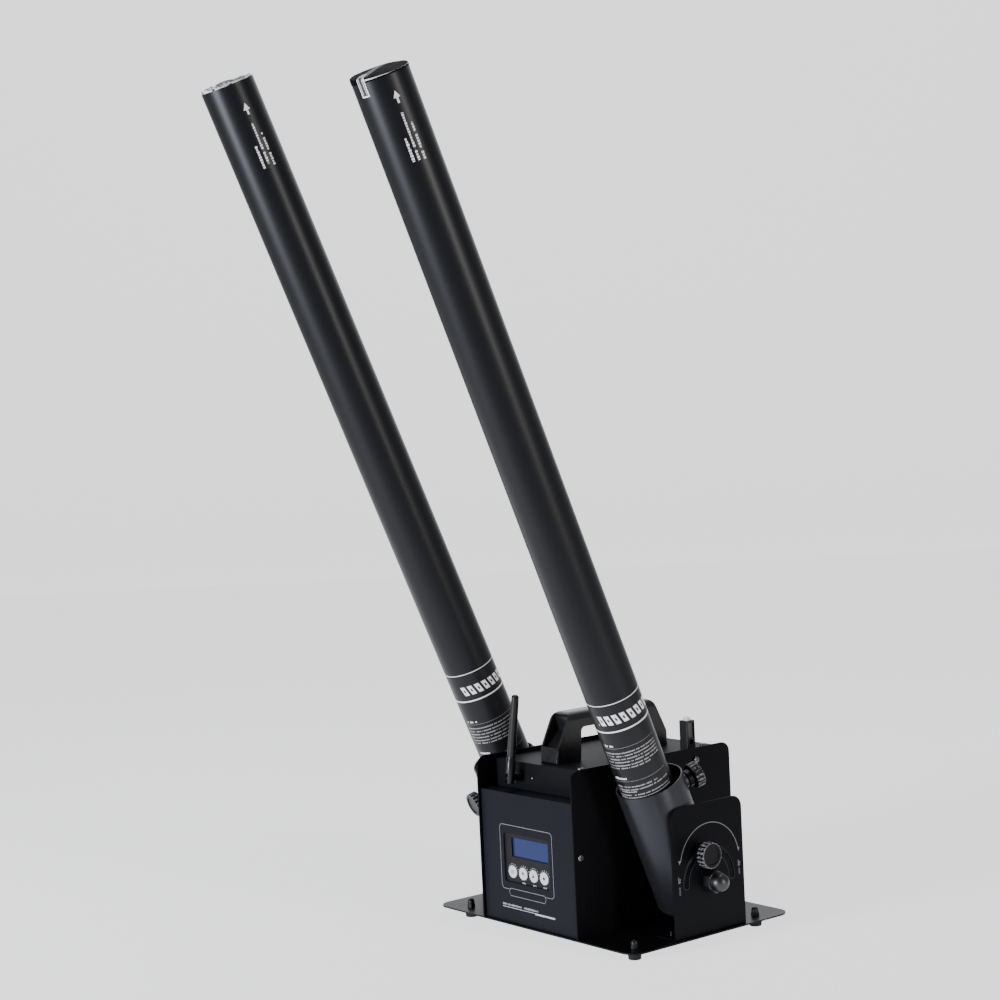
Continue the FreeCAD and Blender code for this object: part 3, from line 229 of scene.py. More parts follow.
class Finish:
    """One material: its Principled shader and short ways to add nodes to it."""

    def __init__(self, name, **shader_values):
        self.material = bpy.data.materials.new(name)
        self.material.use_nodes = True
        self.tree = self.material.node_tree
        self.shader = self.tree.nodes["Principled BSDF"]
        self.set(**shader_values)

    def feed(self, socket, value):
        if isinstance(value, Wire):
            self.tree.links.new(value.socket, socket)
        elif isinstance(value, (tuple, list)) and len(value) == 3 and socket.type == "RGBA":
            socket.default_value = (*value, 1.0)
        else:
            socket.default_value = value

    def set(self, **values):
        for name, value in values.items():
            self.feed(self.shader.inputs[name.replace("_", " ")], value)
        return self

    def node(self, kind, settings=None, inputs=None, out=0):
        made = self.tree.nodes.new(kind)
        for name, value in (settings or {}).items():
            if name == "stops":
                ramp = made.color_ramp
                while len(ramp.elements) < len(value):
                    ramp.elements.new(0.5)
                for element, (position, colour) in zip(ramp.elements, value):
                    element.position = position
                    element.color = (*colour, 1.0)
            else:
                setattr(made, name, value)
        for name, value in (inputs or {}).items():
            self.feed(made.inputs[name], value)
        return Wire(self, made.outputs[out])

    def place(self, matrix=None):
        """The point being shaded. A matrix turns it into a piece's own frame."""
        point = self.node("ShaderNodeTexCoord", out="Object")
        if matrix is None:
            return point
        return self.node("ShaderNodeMapping", {"vector_type": "TEXTURE"},
                         {"Vector": point, "Location": matrix.to_translation(), "Rotation": matrix.to_euler()})

    def split(self, vector):
        made = self.tree.nodes.new("ShaderNodeSeparateXYZ")
        self.feed(made.inputs[0], vector)
        return [Wire(self, output) for output in made.outputs]

    def noise(self, vector, scale, detail=3.0, rough=0.5):
        return self.node("ShaderNodeTexNoise", None,
                         {"Vector": vector, "Scale": scale, "Detail": detail, "Roughness": rough})

    def pack(self, *values):
        made = self.tree.nodes.new("ShaderNodeCombineXYZ")
        for socket, value in zip(made.inputs, values):
            self.feed(socket, value)
        return Wire(self, made.outputs[0])

    def chance(self, *cell):
        """One random number for each whole-numbered cell."""
        return self.node("ShaderNodeTexWhiteNoise", {"noise_dimensions": "3D"}, {"Vector": self.pack(*cell)})

    def length(self, *values):
        return self.node("ShaderNodeVectorMath", {"operation": "LENGTH"},
                         {"Vector": self.pack(*values)}, out="Value")

    def ink(self, mask, colour):
        """Print over the finish as it stands: the mask takes the base colour to the ink."""
        socket = self.shader.inputs["Base Color"]
        below = Wire(self, socket.links[0].from_socket) if socket.links else tuple(socket.default_value[:3])
        return self.set(Base_Color=self.blend(mask, below, colour))

    def blend(self, amount, first, second):
        """Two colours mixed by a mask."""
        made = self.tree.nodes.new("ShaderNodeMix")
        made.data_type = "RGBA"
        self.feed(made.inputs[0], amount)
        self.feed(made.inputs[6], first)
        self.feed(made.inputs[7], second)
        return Wire(self, made.outputs[2])

    def bump(self, height, strength, distance=0.001):
        normal = self.node("ShaderNodeBump", None,
                           {"Height": height, "Strength": strength, "Distance": distance}, out="Normal")
        return self.set(Normal=normal)


def grey(value, blue=0.0):
    return (value, value, value + blue)


# %% [markdown]
# ## Powder-coated steel
# The box, plate, brackets and cups are folded steel with a baked black powder coat.
# Close up it has a fine orange peel, slightly uneven gloss and a little dust. One
# function makes it, so every sheet shares the skin but can differ in shade. A black
# paint's brightness is nearly all reflection, so the reflection level is kept low.

# %% Powder coat
def powder_coat(name, shade, blue=0.001, roughness=0.4, specular=0.1):
    coat = Finish(name, Specular_IOR_Level=specular, Specular_Tint=(0.84, 0.88, 1.0, 1.0))
    point = coat.place()
    peel = coat.noise(point, 1500, 2)
    cloud = coat.noise(point, 18, 4, 0.6)
    dust = coat.noise(point, 420, 5, 0.7).above(0.66, 0.08) * 0.25
    base = coat.blend(cloud, grey(shade * 0.8, blue * 0.8), grey(shade * 1.25, blue * 1.2))
    coat.set(Base_Color=coat.blend(dust, base, grey(shade * 3.0, blue)))
    coat.set(Roughness=roughness - 0.05 + cloud * 0.1 + dust * 0.3)
    coat.bump(peel, 0.15, 0.0002)
    return coat


COAT = powder_coat("black powder coat", 0.0035, 0.0007, 0.42, 0.05).material
PLATE_COAT = powder_coat("base plate coat", 0.004, 0.0008, 0.36, 0.10).material
COVER_COAT = powder_coat("cover coat", 0.0060, 0.0014, 0.5, 0.05).material
# The cups' lighter, bluer base is partly painted sheen: it stands in for the soft highlight the cups carry.
CUP_COAT = powder_coat("cup coat", 0.0090, 0.0024, 0.38, 0.42).material
print("coats:", [coat.name for coat in (COAT, PLATE_COAT, COVER_COAT, CUP_COAT)])

# %% [markdown]
# ## Lines printed on the steel
# The panel and the brackets carry thin white prints. A print has no thickness worth
# modelling, so it is drawn in the shader: each shape is a distance from an outline,
# and the mask is 1 where that distance is under half the line's width. The pale line
# round each bracket's slot is drawn the same way, but it is a painted edge highlight.
# Sizes are in metres, heights are measured from the top of the base plate.

# %% Print shapes
PLATE_TOP = 0.0095
INK = (0.42, 0.43, 0.46)
SOFT_INK = (0.20, 0.205, 0.225)


def box_edge(across, up, middle, half, corner):
    """Distance from a rounded box outline, below 0 inside it."""
    out_x = abs(across - middle[0]) - (half[0] - corner)
    out_z = abs(up - middle[1]) - (half[1] - corner)
    return out_x.finish.length(out_x.max(0.0), out_z.max(0.0), 0.0) + out_x.max(out_z).min(0.0) - corner


def bar(across, up, low, high, soft=0.00015):
    return across.between(low[0], high[0], soft) * up.between(low[1], high[1], soft)


def marks(finish, across, up, low, high, pitch, seed):
    """A row of short unreadable marks, as small print looks from across a room."""
    cell = (across / pitch).floor()
    shown = finish.chance(cell, seed, 1.0).above(0.14, 0.02)
    tall = finish.chance(cell, seed, 2.0) * 0.3
    place = (up - low[1]) / (high[1] - low[1])
    edge = (across / pitch).part().between(0.08, 0.82, 0.1)
    return shown * edge * bar(across, up, low, high) * place.between(tall * 0.5, 1.02 - tall, 0.15)


# %% Front panel print
FRAME_MIDDLE, FRAME_HALF, FRAME_CORNER = (-0.00355, 0.06285), (0.03815, 0.03085), 0.004
FRAME_TAB_X, FRAME_TAB_HEIGHT, FRAME_TAB_HALF_X, FRAME_TAB_HALF_HEIGHT = -0.0041, 0.0295, 0.0270, 0.0035
RULE = ((-0.042, 0.01395), (0.0345, 0.0145))
HEAVY_RULE = ((0.006, 0.0129), (0.0345, 0.0143))
SMALL_PRINT = ((-0.042, 0.0157), (0.011, 0.0178))
PANEL_FRONT_Y = -0.0985
# The panel's lighter, bluer base is partly painted reflection: it stands in for bluish light falling on the
# panel.
panel = powder_coat("front panel coat", 0.0085, 0.0040, 0.45, 0.05)
side_way, depth, height = panel.split(panel.place())
height = height - PLATE_TOP
window_frame = box_edge(side_way, height, FRAME_MIDDLE, FRAME_HALF, FRAME_CORNER)
tab_slope = abs(side_way - FRAME_TAB_X) + abs(height - FRAME_TAB_HEIGHT) * 0.55
tab = (tab_slope - FRAME_TAB_HALF_X).max(abs(height - FRAME_TAB_HEIGHT) - FRAME_TAB_HALF_HEIGHT)
frame_line = abs(window_frame).below(0.00026, 0.00016) * tab.above(0.0)
tab_line = abs(tab).below(0.00024, 0.00016)
rule = bar(side_way, height, *RULE)
heavy_rule = bar(side_way, height, *HEAVY_RULE)
small_print = marks(panel, side_way, height, *SMALL_PRINT, 0.00115, 4.0)
facing = depth.below(PANEL_FRONT_Y, 0.0004)
panel.ink((frame_line + tab_line).clamp() * facing, SOFT_INK)
panel.ink((rule + heavy_rule + small_print * 0.7).clamp() * facing, INK)
PANEL_COAT = panel.material
print("panel frame", [round(2000 * half, 1) for half in FRAME_HALF], "mm")

# %% Bracket print and painted slot-edge highlight
ARC_Y, ARC_HEIGHT, ARC_R, ARC_FOOT = 0.0008, 0.0635, 0.0376, 0.0705
HEAD_YS, HEAD_TIP, HEAD_TOP = (-0.0375, 0.0382), 0.0684, 0.0720
STOP_MARKS = (((-0.0394, 0.0405), (-0.0374, 0.0485)), ((0.0372, 0.0465), (0.0392, 0.0525)))
SLOT_Y, SLOT_HEIGHT, SLOT_R = -0.001, 0.048, 0.029
OUTER_FACE_X = 0.1394


def bracket_coat(side):
    coat = powder_coat(side + " bracket coat", 0.0036, 0.0010, 0.42, 0.045)
    sign = 1 if side == "right" else -1
    outward_way, along, up = coat.split(coat.place())
    up = up - PLATE_TOP
    arc = abs(coat.length(along - ARC_Y, up - ARC_HEIGHT, 0.0) - ARC_R).below(0.00032, 0.00018)
    arc = arc * up.above(ARC_FOOT, 0.0002)
    heads = stops = 0.0
    for tip in HEAD_YS:
        slope = abs(along - tip) - (up - HEAD_TIP) * 0.36
        heads = slope.below(0.0, 0.0002) * up.between(HEAD_TIP, HEAD_TOP, 0.0002) + heads
    for low, high in STOP_MARKS:
        stops = bar(along, up, low, high) * (up / 0.0016).part().above(0.45, 0.1) + stops
    # The outline round the slot is a painted edge highlight, inked like the print.
    from_pivot, over_pivot = along - SLOT_Y, up - SLOT_HEIGHT
    ring = abs(coat.length(from_pivot, over_pivot, 0.0) - SLOT_R) * over_pivot.above(0.0)
    ends = coat.length(abs(from_pivot) - SLOT_R, over_pivot, 0.0) * over_pivot.below(0.0)
    slot_edge_highlight = (ring + ends).between(0.0034, 0.0037, 0.0002) * 0.28
    stops = stops * 0.6 + slot_edge_highlight
    face = (outward_way * sign).above(OUTER_FACE_X, 0.0001)
    return coat.ink((arc + heads + stops).clamp() * face, SOFT_INK).material


BRACKET_COAT = {side: bracket_coat(side) for side in ("right", "left")}
print("tilt arc radius", ARC_R * 1000, "mm")

# %% [markdown]
# ## Moulded plastics, rubber and plated metal
# Small pieces get their own finishes: grained black plastic for knobs and handle,
# dull rubber for the feet, dark zinc for the screws, black plating on the cap nuts.

# %% Plastics and rubber
def moulded(name, shade, roughness=0.4, grain=0.12, scale=900, blue=0.001, specular=0.3):
    plastic = Finish(name, Specular_IOR_Level=specular)
    point = plastic.place()
    fine = plastic.noise(point, scale, 3)
    wide = plastic.noise(point, 30, 3)
    plastic.set(Base_Color=plastic.blend(wide, grey(shade * 0.8, blue * 0.8), grey(shade * 1.25, blue * 1.2)))
    plastic.set(Roughness=roughness - 0.06 + wide * 0.12)
    plastic.bump(fine, grain, 0.0002)
    return plastic


PLUNGER = moulded("plunger plastic", 0.075, 0.5, 0.5, 900, specular=0.2).material
CAP = moulded("pale cap", 0.62, 0.35, 0.05, specular=0.5).material
HANDLE = moulded("handle plastic", 0.006, 0.28, 0.22, 700, specular=0.5).material
SOCKET = moulded("socket plastic", 0.010, 0.42).material
AERIAL = moulded("aerial rubber", 0.006, 0.32, 0.2, 1200, specular=0.3).material
RUBBER = moulded("foot rubber", 0.008, 0.75, 0.5, 500, specular=0.2).material
PLUG = moulded("plug plastic", 0.010, 0.5).material
print("plastics:", [made.name for made in (HANDLE, SOCKET, AERIAL, RUBBER, PLUG, PLUNGER, CAP)])

# %% [markdown]
# ## Painted highlights on the ribs
# The crests of a knob's ribs and its front edge are painted paler than the valleys: a
# painted highlight where light would catch them. The knob's turning joint gives its axis
# and middle; in that frame the radius tells crest from valley, and noise breaks the
# painted crest highlight into dashes.

# %% Fluted knobs
CREST_R, FRONT_EDGE_R = 0.01165, 0.0113


def knob_finish(node):
    """Black plastic with a painted highlight along its rib crests and its front edge."""
    joint = JOINT[node + "_turn"]
    axis = Vector(joint["axis"]).normalized()
    side = axis.orthogonal().normalized()
    other = axis.cross(side)
    centre = Vector(joint["pos_m"])
    reach = max((corner.co - centre).dot(axis) for corner in frame["nodes"][node].data.vertices)
    place = Matrix(((side.x, other.x, axis.x, centre.x), (side.y, other.y, axis.y, centre.y),
                    (side.z, other.z, axis.z, centre.z), (0, 0, 0, 1)))
    knob = moulded(node + " plastic", 0.0035, 0.30, 0.1, specular=0.10)
    x, y, out = knob.split(knob.place(place))
    radius = knob.length(x, y, 0.0)
    crest_glint_breakup = knob.noise(knob.place(), 520, 3, 0.7).above(0.50, 0.12)
    crest = radius.above(CREST_R, 0.0003) * crest_glint_breakup
    front_edge_highlight = abs(radius - FRONT_EDGE_R).below(0.00035, 0.0003) * out.above(reach - 0.0006, 0.0003)
    # The paler ink on the crests and the front edge is a painted highlight.
    return knob.ink((crest * 0.55 + front_edge_highlight * 0.45).clamp(), (0.30, 0.30, 0.33)).material


JOINT = {joint["name"]: joint for joint in frame["record"]["behaviour"]["joints"]}
KNOB = {node: knob_finish(node) for node in ("right_tilt_knob", "left_tilt_knob", "right_barrel_knob",
                                             "left_barrel_knob")}
print("knobs:", list(KNOB))

# %% Metals
def metal(name, shade, roughness=0.28, warm=(1, 1, 1), streak=0.25, scale=700):
    plated = Finish(name, Metallic=1.0)
    point = plated.place()
    scratches = plated.noise(point, scale, 4, 0.6)
    stain = plated.noise(point, 60, 3)
    dark = tuple(shade * 0.8 * part for part in warm)
    light = tuple(shade * 1.1 * part for part in warm)
    plated.set(Base_Color=plated.blend(stain, dark, light), Roughness=roughness + scratches * streak * 0.5)
    plated.bump(scratches, 0.06, 0.0001)
    return plated


STEEL = metal("bright steel", 0.55).material
ZINC = metal("black zinc screw", 0.16, 0.22).material
BLACK_NUT = metal("black plating", 0.06, 0.36, (1, 1, 1.06), 0.12, 400).material
DARK_NUT = metal("black socket nut", 0.03, 0.35).material
BRASS = metal("brass", 0.6, 0.25, (1.0, 0.78, 0.38)).material
ALLOY = metal("satin alloy", 0.4, 0.35).material
print("metals:", [made.name for made in (STEEL, ZINC, BLACK_NUT, DARK_NUT, BRASS, ALLOY)])

# %% [markdown]
# ## Circuit boards and what lies inside
# The boards only show when the box is opened. Copper tracks run in short straight
# lengths, so a brick pattern stands for them, with solder dots on a square grid.

# %% Circuit board
def circuit_board(name):
    board = Finish(name, Roughness=0.4)
    point = board.place()
    across, deep, up = board.split(point)
    tracks = board.node("ShaderNodeTexBrick", None,
                        {"Vector": point, "Scale": 260.0, "Mortar Size": 0.04, "Color1": (0.004, 0.035, 0.012),
                         "Color2": (0.006, 0.05, 0.018), "Mortar": (0.02, 0.11, 0.04)})
    cell_x = (across / 0.0035).part() - 0.5
    cell_y = (deep / 0.0035).part() - 0.5
    pads = board.length(cell_x, cell_y, 0.0).below(0.2, 0.05)
    pads = pads * board.chance((across / 0.0035).floor(), (deep / 0.0035).floor(), 5.0).above(0.6, 0.05)
    board.set(Base_Color=board.blend(pads, tracks, (0.5, 0.48, 0.42)), Metallic=pads * 0.8)
    board.bump(board.noise(point, 300, 3), 0.2, 0.0002)
    return board.material


BOARD = circuit_board("circuit board")
print("board finish:", BOARD.name)

# %% Confetti charge
charge = Finish("paper slips", Roughness=0.75, Specular_IOR_Level=0.2)
slip_point = charge.place()
slip_x, slip_y, slip_z = charge.split(slip_point)
slip = charge.chance((slip_x / 0.004).floor(), (slip_y / 0.004).floor(), (slip_z / 0.011).floor())
slip_colour = charge.node("ShaderNodeValToRGB", {"stops": [
    (0.0, (0.75, 0.04, 0.04)), (0.2, (0.85, 0.55, 0.03)), (0.4, (0.05, 0.35, 0.09)),
    (0.6, (0.04, 0.15, 0.6)), (0.8, (0.6, 0.05, 0.4)), (1.0, (0.8, 0.8, 0.8))]}, {"Fac": slip})
charge.set(Base_Color=slip_colour)
charge.bump(charge.noise(slip_point, 500, 3), 0.4, 0.0005)
SLIPS = charge.material
print("paper finish:", SLIPS.name)

# %% [markdown]
# ## Barrels in printed black film
# Each barrel is a card tube wound in satin black film. Near its foot a darker label
# goes round it between bright rings, with bold blocks and rows of small print; near
# its mouth an arrow shows which way the charge leaves. The marks here are plain
# bars: they keep the rhythm of the print without saying anything.

# %% Label layout
LABELS = {
    "right": {
        "rings": [(0.2160, 0.00035), (0.1890, 0.0007)],
        "blocks": (0.1960, 0.2055, -92, 64),
        "headings": [(0.1746, -107, -71), (0.1405, -107, -73)],
        "rules": [(0.1720, -107, 21), (0.1375, -107, 21)],
        "lines": [(0.1669, -109, 21), (0.1639, -109, 21), (0.1607, -109, 21), (0.1576, -109, 21),
                  (0.1543, -109, 21), (0.1515, -109, -9), (0.1318, -109, -9), (0.1287, -109, 21),
                  (0.1265, -109, -60), (0.1231, -109, 21), (0.1203, -109, 21)],
        "columns": [(-34.5, 0.7258, 0.7467), (-23.6, 0.7257, 0.7663), (-12.0, 0.7250, 0.7566)],
        "arrow": (-22.0, 0.7743, 0.7790, 0.7848),
    },
    "left": {
        "rings": [(0.1992, 0.00035), (0.1707, 0.0007)],
        "blocks": (0.1770, 0.1865, -73, 64),
        "headings": [(0.1480, -97, -66), (0.1126, -97, -66)],
        "rules": [(0.1450, -102, 28), (0.1098, -102, 28)],
        "lines": [(0.1407, -102, 28), (0.1372, -102, 28), (0.1339, -102, 28), (0.1305, -102, 28),
                  (0.1271, -102, 28), (0.1241, -102, -9)],
        "columns": [(-26.8, 0.7196, 0.7418), (-15.0, 0.7196, 0.7614), (-3.0, 0.7196, 0.7510)],
        "arrow": (-14.0, 0.7697, 0.7742, 0.7805),
    },
}
DEGREE = TUBE_R * math.pi / 180


# %% Barrel film
def barrel_film(side):
    film = Finish(side + " barrel film", Specular_IOR_Level=0.25, Specular_Tint=(0.92, 0.94, 1.0, 1.0))
    layout = LABELS[side]
    point = film.place(BARREL[side])
    x, y, rise = film.split(point)
    arc = y.turned(x) * DEGREE
    wide = film.noise(point, 9, 3)
    fine = film.noise(point, 1300, 3)
    skin = film.blend(wide, (0.0030, 0.0031, 0.0040), (0.0048, 0.0050, 0.0062))
    label = rise.below(layout["rings"][0][0] + 0.002, 0.0002)
    film.set(Base_Color=film.blend(label, skin, (0.0065, 0.0065, 0.0075)))
    print_mask = 0.0
    for height, thick in layout["rings"]:
        print_mask = abs(rise - height).below(thick, 0.0003) + print_mask
    low, high, start, end = layout["blocks"]
    slant = ((arc + (rise - low) * 0.3) / 0.0075).part()
    bold = slant.between(0.10, 0.74, 0.06) * bar(arc, rise, (start * DEGREE, low), (end * DEGREE, high))
    notch = (slant.between(0.30, 0.54, 0.06) * rise.between(low + 0.0032, high - 0.0032, 0.0003)).clamp()
    print_mask = print_mask + bold * (1.0 - notch)
    for row, (height, start, end) in enumerate(layout["headings"]):
        low, high = (start * DEGREE, height - 0.0012), (end * DEGREE, height + 0.0012)
        print_mask = print_mask + marks(film, arc, rise, low, high, 0.0022, 20.0 + row)
    for height, start, end in layout["rules"]:
        rule = bar(arc, rise, (start * DEGREE, height - 0.0001), (end * DEGREE, height + 0.0001))
        print_mask = print_mask + rule * 0.4
    for row, (height, start, end) in enumerate(layout["lines"]):
        low, high = (start * DEGREE, height - 0.0007), (end * DEGREE, height + 0.0007)
        print_mask = print_mask + marks(film, arc, rise, low, high, 0.0011, 40.0 + row) * 0.42
    for row, (angle, low, high) in enumerate(layout["columns"]):
        side_low, side_high = (low, angle * DEGREE - 0.0012), (high, angle * DEGREE + 0.0012)
        print_mask = print_mask + marks(film, rise, arc, side_low, side_high, 0.0024, 60.0 + row)
    angle, tail, base, tip = layout["arrow"]
    off = abs(arc - angle * DEGREE)
    head = (off - (tip - rise) * 0.5).below(0.0, 0.0002) * rise.between(base, tip, 0.0002)
    print_mask = print_mask + head + off.below(0.0009, 0.0002) * rise.between(tail, base + 0.0005, 0.0002)
    film.ink(print_mask.clamp(), (0.80, 0.80, 0.82))
    film.set(Roughness=0.34 + wide * 0.08 - label * 0.04)
    film.bump(fine, 0.08, 0.0002)
    return film.material


FILM = {side: barrel_film(side) for side in ("right", "left")}
print("barrel films:", [material.name for material in FILM.values()])

# %% [markdown]
# ## The control window
# A blue backlit display sits over four pale keys in a black bezel. Small ticks fan
# out above each key and a short bar lies below three of them. The keys carry plain
# signs: three bars, down, up and a dot.

# %% Bezel, glass and keys
KEYS = {node: (Vector(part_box(node)[0]) + Vector(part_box(node)[1])) / 2
        for node in ("menu_button", "down_button", "up_button", "enter_button")}

bezel = moulded("bezel plastic", 0.006, 0.5, 0.1, specular=0.15)
across, depth, up = bezel.split(bezel.place())
ticks = 0.0
for spot in KEYS.values():
    from_x, from_z = across - spot.x, up - spot.z
    swing = from_z.turned(from_x)
    fan = (swing / 22.0 + 0.5).part().between(0.36, 0.64, 0.1) * swing.between(20, 160, 2)
    ticks = fan * bezel.length(from_x, from_z, 0.0).between(0.0068, 0.0078, 0.0002) + ticks
for number, spot in enumerate(list(KEYS.values())[1:]):
    low, high = (spot.x - 0.0026, spot.z - 0.0099), (spot.x + 0.0026, spot.z - 0.0082)
    ticks = ticks + marks(bezel, across, up, low, high, 0.0010, 80.0 + number)
bezel.ink(ticks.clamp(), (0.35, 0.35, 0.37))
BEZEL = bezel.material

glass = Finish("backlit display", Roughness=0.12, Specular_IOR_Level=0.15, Base_Color=(0.004, 0.006, 0.02, 1.0))
glass_x, _, glass_z = glass.split(glass.place())
glow = glass.noise(glass.place(), 25, 2)
dots = (glass_x / 0.0008).part().between(0.1, 0.9, 0.1) * (glass_z / 0.0008).part().between(0.1, 0.9, 0.1)
lit = glass.blend(glow, (0.016, 0.030, 0.135), (0.021, 0.039, 0.170))
glass.set(Emission_Color=glass.blend(dots * 0.25, lit, (0.026, 0.047, 0.20)), Emission_Strength=1.0)
glass.bump(glow, 0.02, 0.0001)
GLASS = glass.material


def key_finish(node, sign):
    key = Finish(node + " face", Specular_IOR_Level=0.3, Roughness=0.5)
    spot = KEYS[node]
    across, depth, up = key.split(key.place())
    x, z = across - spot.x, up - spot.z
    if sign == "bars":
        stripes = (z / 0.0013 + 0.5).part().between(0.25, 0.75, 0.1)
        mask = stripes * bar(x, z, (-0.0022, -0.00195), (0.0022, 0.00195))
    elif sign == "dot":
        mask = key.length(x, z, 0.0).below(0.0016, 0.0003)
    else:
        away = z if sign == "up" else -z
        mask = (abs(x) + away * 0.6 - 0.0012).below(0.0, 0.0003) * away.above(-0.0015, 0.0002)
    worn = key.noise(key.place(), 240, 3)
    pale = key.blend(worn, (0.46, 0.47, 0.5), (0.60, 0.61, 0.64))
    key.set(Base_Color=key.blend(mask, pale, (0.03, 0.03, 0.035)))
    key.bump(worn, 0.08, 0.0002)
    return key.material


KEY_FACE = {node: key_finish(node, sign)
            for node, sign in zip(KEYS, ("bars", "down", "up", "dot"))}
print("keys at", [round(spot.x * 1000, 1) for spot in KEYS.values()])

# %% [markdown]
# ## Softening the CAD pieces
# A CAD mesh has knife-sharp edges, and a real edge always catches a thin line of
# light. The CAD node itself is never edited: a copy is merged, its flat areas are
# dissolved to clean faces, and a small bevel is applied. Weighted normals then keep
# the flats flat and put all the shading on the bevel.

# %% Copy, merge and bevel
def dressed(node, material, bevel=0.0, segments=2, limit=32, smooth=34):
    source = frame["nodes"][node]
    piece = source.copy()
    piece.data = source.data.copy()
    for key in list(piece.keys()):
        del piece[key]
    piece.parent = None
    piece.name = node + "_dressed"
    bpy.context.scene.collection.objects.link(piece)
    edit(piece)
    bpy.ops.mesh.select_all(action="SELECT")
    bpy.ops.mesh.remove_doubles(threshold=2e-6)
    back_to_object()
    if piece.data.has_custom_normals:
        bpy.ops.mesh.customdata_custom_splitnormals_clear()
    if bevel:
        edit(piece)
        bpy.ops.mesh.select_all(action="SELECT")
        bpy.ops.mesh.dissolve_limited(angle_limit=math.radians(0.5))
        back_to_object()
        finish_modifier(piece, "BEVEL", width=bevel, segments=segments, limit_method="ANGLE",
                        angle_limit=math.radians(limit), use_clamp_overlap=True, miter_outer="MITER_ARC")
    only(piece)
    bpy.ops.object.shade_smooth_by_angle(angle=math.radians(smooth))
    if bevel:
        finish_modifier(piece, "WEIGHTED_NORMAL", keep_sharp=True)
    piece.data.materials.clear()
    piece.data.materials.append(material)
    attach(piece, BODY_OF[node])
    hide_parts(node)
    return piece


PLAIN = {
    "base_plate": (PLATE_COAT, 0.0005), "top_cover": (COVER_COAT, 0.0005), "front_panel": (PANEL_COAT, 0.0005),
    "right_side_plate": (COAT, 0.0005), "left_side_plate": (COAT, 0.0005), "rear_panel": (COAT, 0.0005),
    "right_bracket": (BRACKET_COAT["right"], 0.0005), "left_bracket": (BRACKET_COAT["left"], 0.0005),
    "right_holder_tube": (CUP_COAT, 0.0), "left_holder_tube": (CUP_COAT, 0.0),
    "rubber_feet": (RUBBER, 0.0003), "foot_screws": (ZINC, 0.0), "floor_screws": (DARK_NUT, 0.0),
    "foot_cap_nuts": (DARK_NUT, 0.0), "housing_screws": (ZINC, 0.0), "handle_screws": (ZINC, 0.0),
    "right_pivot_cap_nut": (BLACK_NUT, 0.0), "left_pivot_cap_nut": (BLACK_NUT, 0.0),
    "right_tilt_knob": (KNOB["right_tilt_knob"], 0.0), "left_tilt_knob": (KNOB["left_tilt_knob"], 0.0),
    "right_barrel_knob": (KNOB["right_barrel_knob"], 0.0), "left_barrel_knob": (KNOB["left_barrel_knob"], 0.0),
    "display_bezel": (BEZEL, 0.0002), "control_board": (BOARD, 0.0), "display_glass": (GLASS, 0.0001),
    "carry_handle": (HANDLE, 0.0007), "terminal_bodies": (SOCKET, 0.0003),
    "right_terminal_plunger": (PLUNGER, 0.0), "left_terminal_plunger": (PLUNGER, 0.0),
    "right_terminal_cap": (CAP, 0.0), "left_terminal_cap": (CAP, 0.0),
    "antenna_socket": (DARK_NUT, 0.0), "antenna_elbow": (AERIAL, 0.0), "antenna_mast": (AERIAL, 0.0),
    "status_led": (ZINC, 0.0), "mains_inlet": (SOCKET, 0.0003), "switch_frame": (SOCKET, 0.0003),
    "switch_rocker": (SOCKET, 0.0003), "dmx_in": (ALLOY, 0.0002), "dmx_out": (ALLOY, 0.0002),
    "power_supply": (BOARD, 0.0), "firing_board": (BOARD, 0.0), "radio_receiver": (BOARD, 0.0),
    "board_standoffs": (BRASS, 0.0),
    "menu_button": (KEY_FACE["menu_button"], 0.0002), "down_button": (KEY_FACE["down_button"], 0.0002),
    "up_button": (KEY_FACE["up_button"], 0.0002), "enter_button": (KEY_FACE["enter_button"], 0.0002),
    "right_barrel_tube": (FILM["right"], 0.0), "left_barrel_tube": (FILM["left"], 0.0),
    "right_base_plug": (PLUG, 0.0), "left_base_plug": (PLUG, 0.0),
    "right_gas_cartridge": (STEEL, 0.0), "left_gas_cartridge": (STEEL, 0.0),
    "right_confetti_charge": (SLIPS, 0.0), "left_confetti_charge": (SLIPS, 0.0),
}
pieces = {node: dressed(node, *how) for node, how in PLAIN.items()}
print("dressed:", len(pieces))

# %% [markdown]
# ## Films over the mouths
# A thin film closes each mouth and folds a few millimetres down outside the tube.
# One way would be a flat disc with a bump; its outline would stay a perfect ellipse,
# and the real films crumple over the rim. So a ring of points is drawn up the
# outside, turned in over the rim and inset to the middle, then crumpled by a
# Displace modifier. The right film is matt black, the left one silver foil.

# %% Mouth films
def mouth_profile(name, rings):
    """A skin of round rings, each given as (radius, height), closed in the middle."""
    bpy.ops.object.select_all(action="DESELECT")
    radius, height = rings[0]
    bpy.ops.mesh.primitive_circle_add(vertices=160, radius=radius, location=(0, 0, 0))
    skin = bpy.context.object
    skin.name = name
    placed(skin, Matrix.Translation((0, 0, height)))
    edit(skin, "EDGE")
    bpy.ops.mesh.select_all(action="SELECT")
    for wider, higher in rings[1:]:
        bpy.ops.mesh.extrude_region_move(TRANSFORM_OT_translate={"value": (0, 0, higher - height)})
        shrink = wider / radius
        bpy.ops.transform.resize(value=(shrink, shrink, 1), center_override=(0, 0, 0))
        radius, height = wider, higher
    bpy.ops.mesh.edge_face_add()
    back_to_object()
    return skin


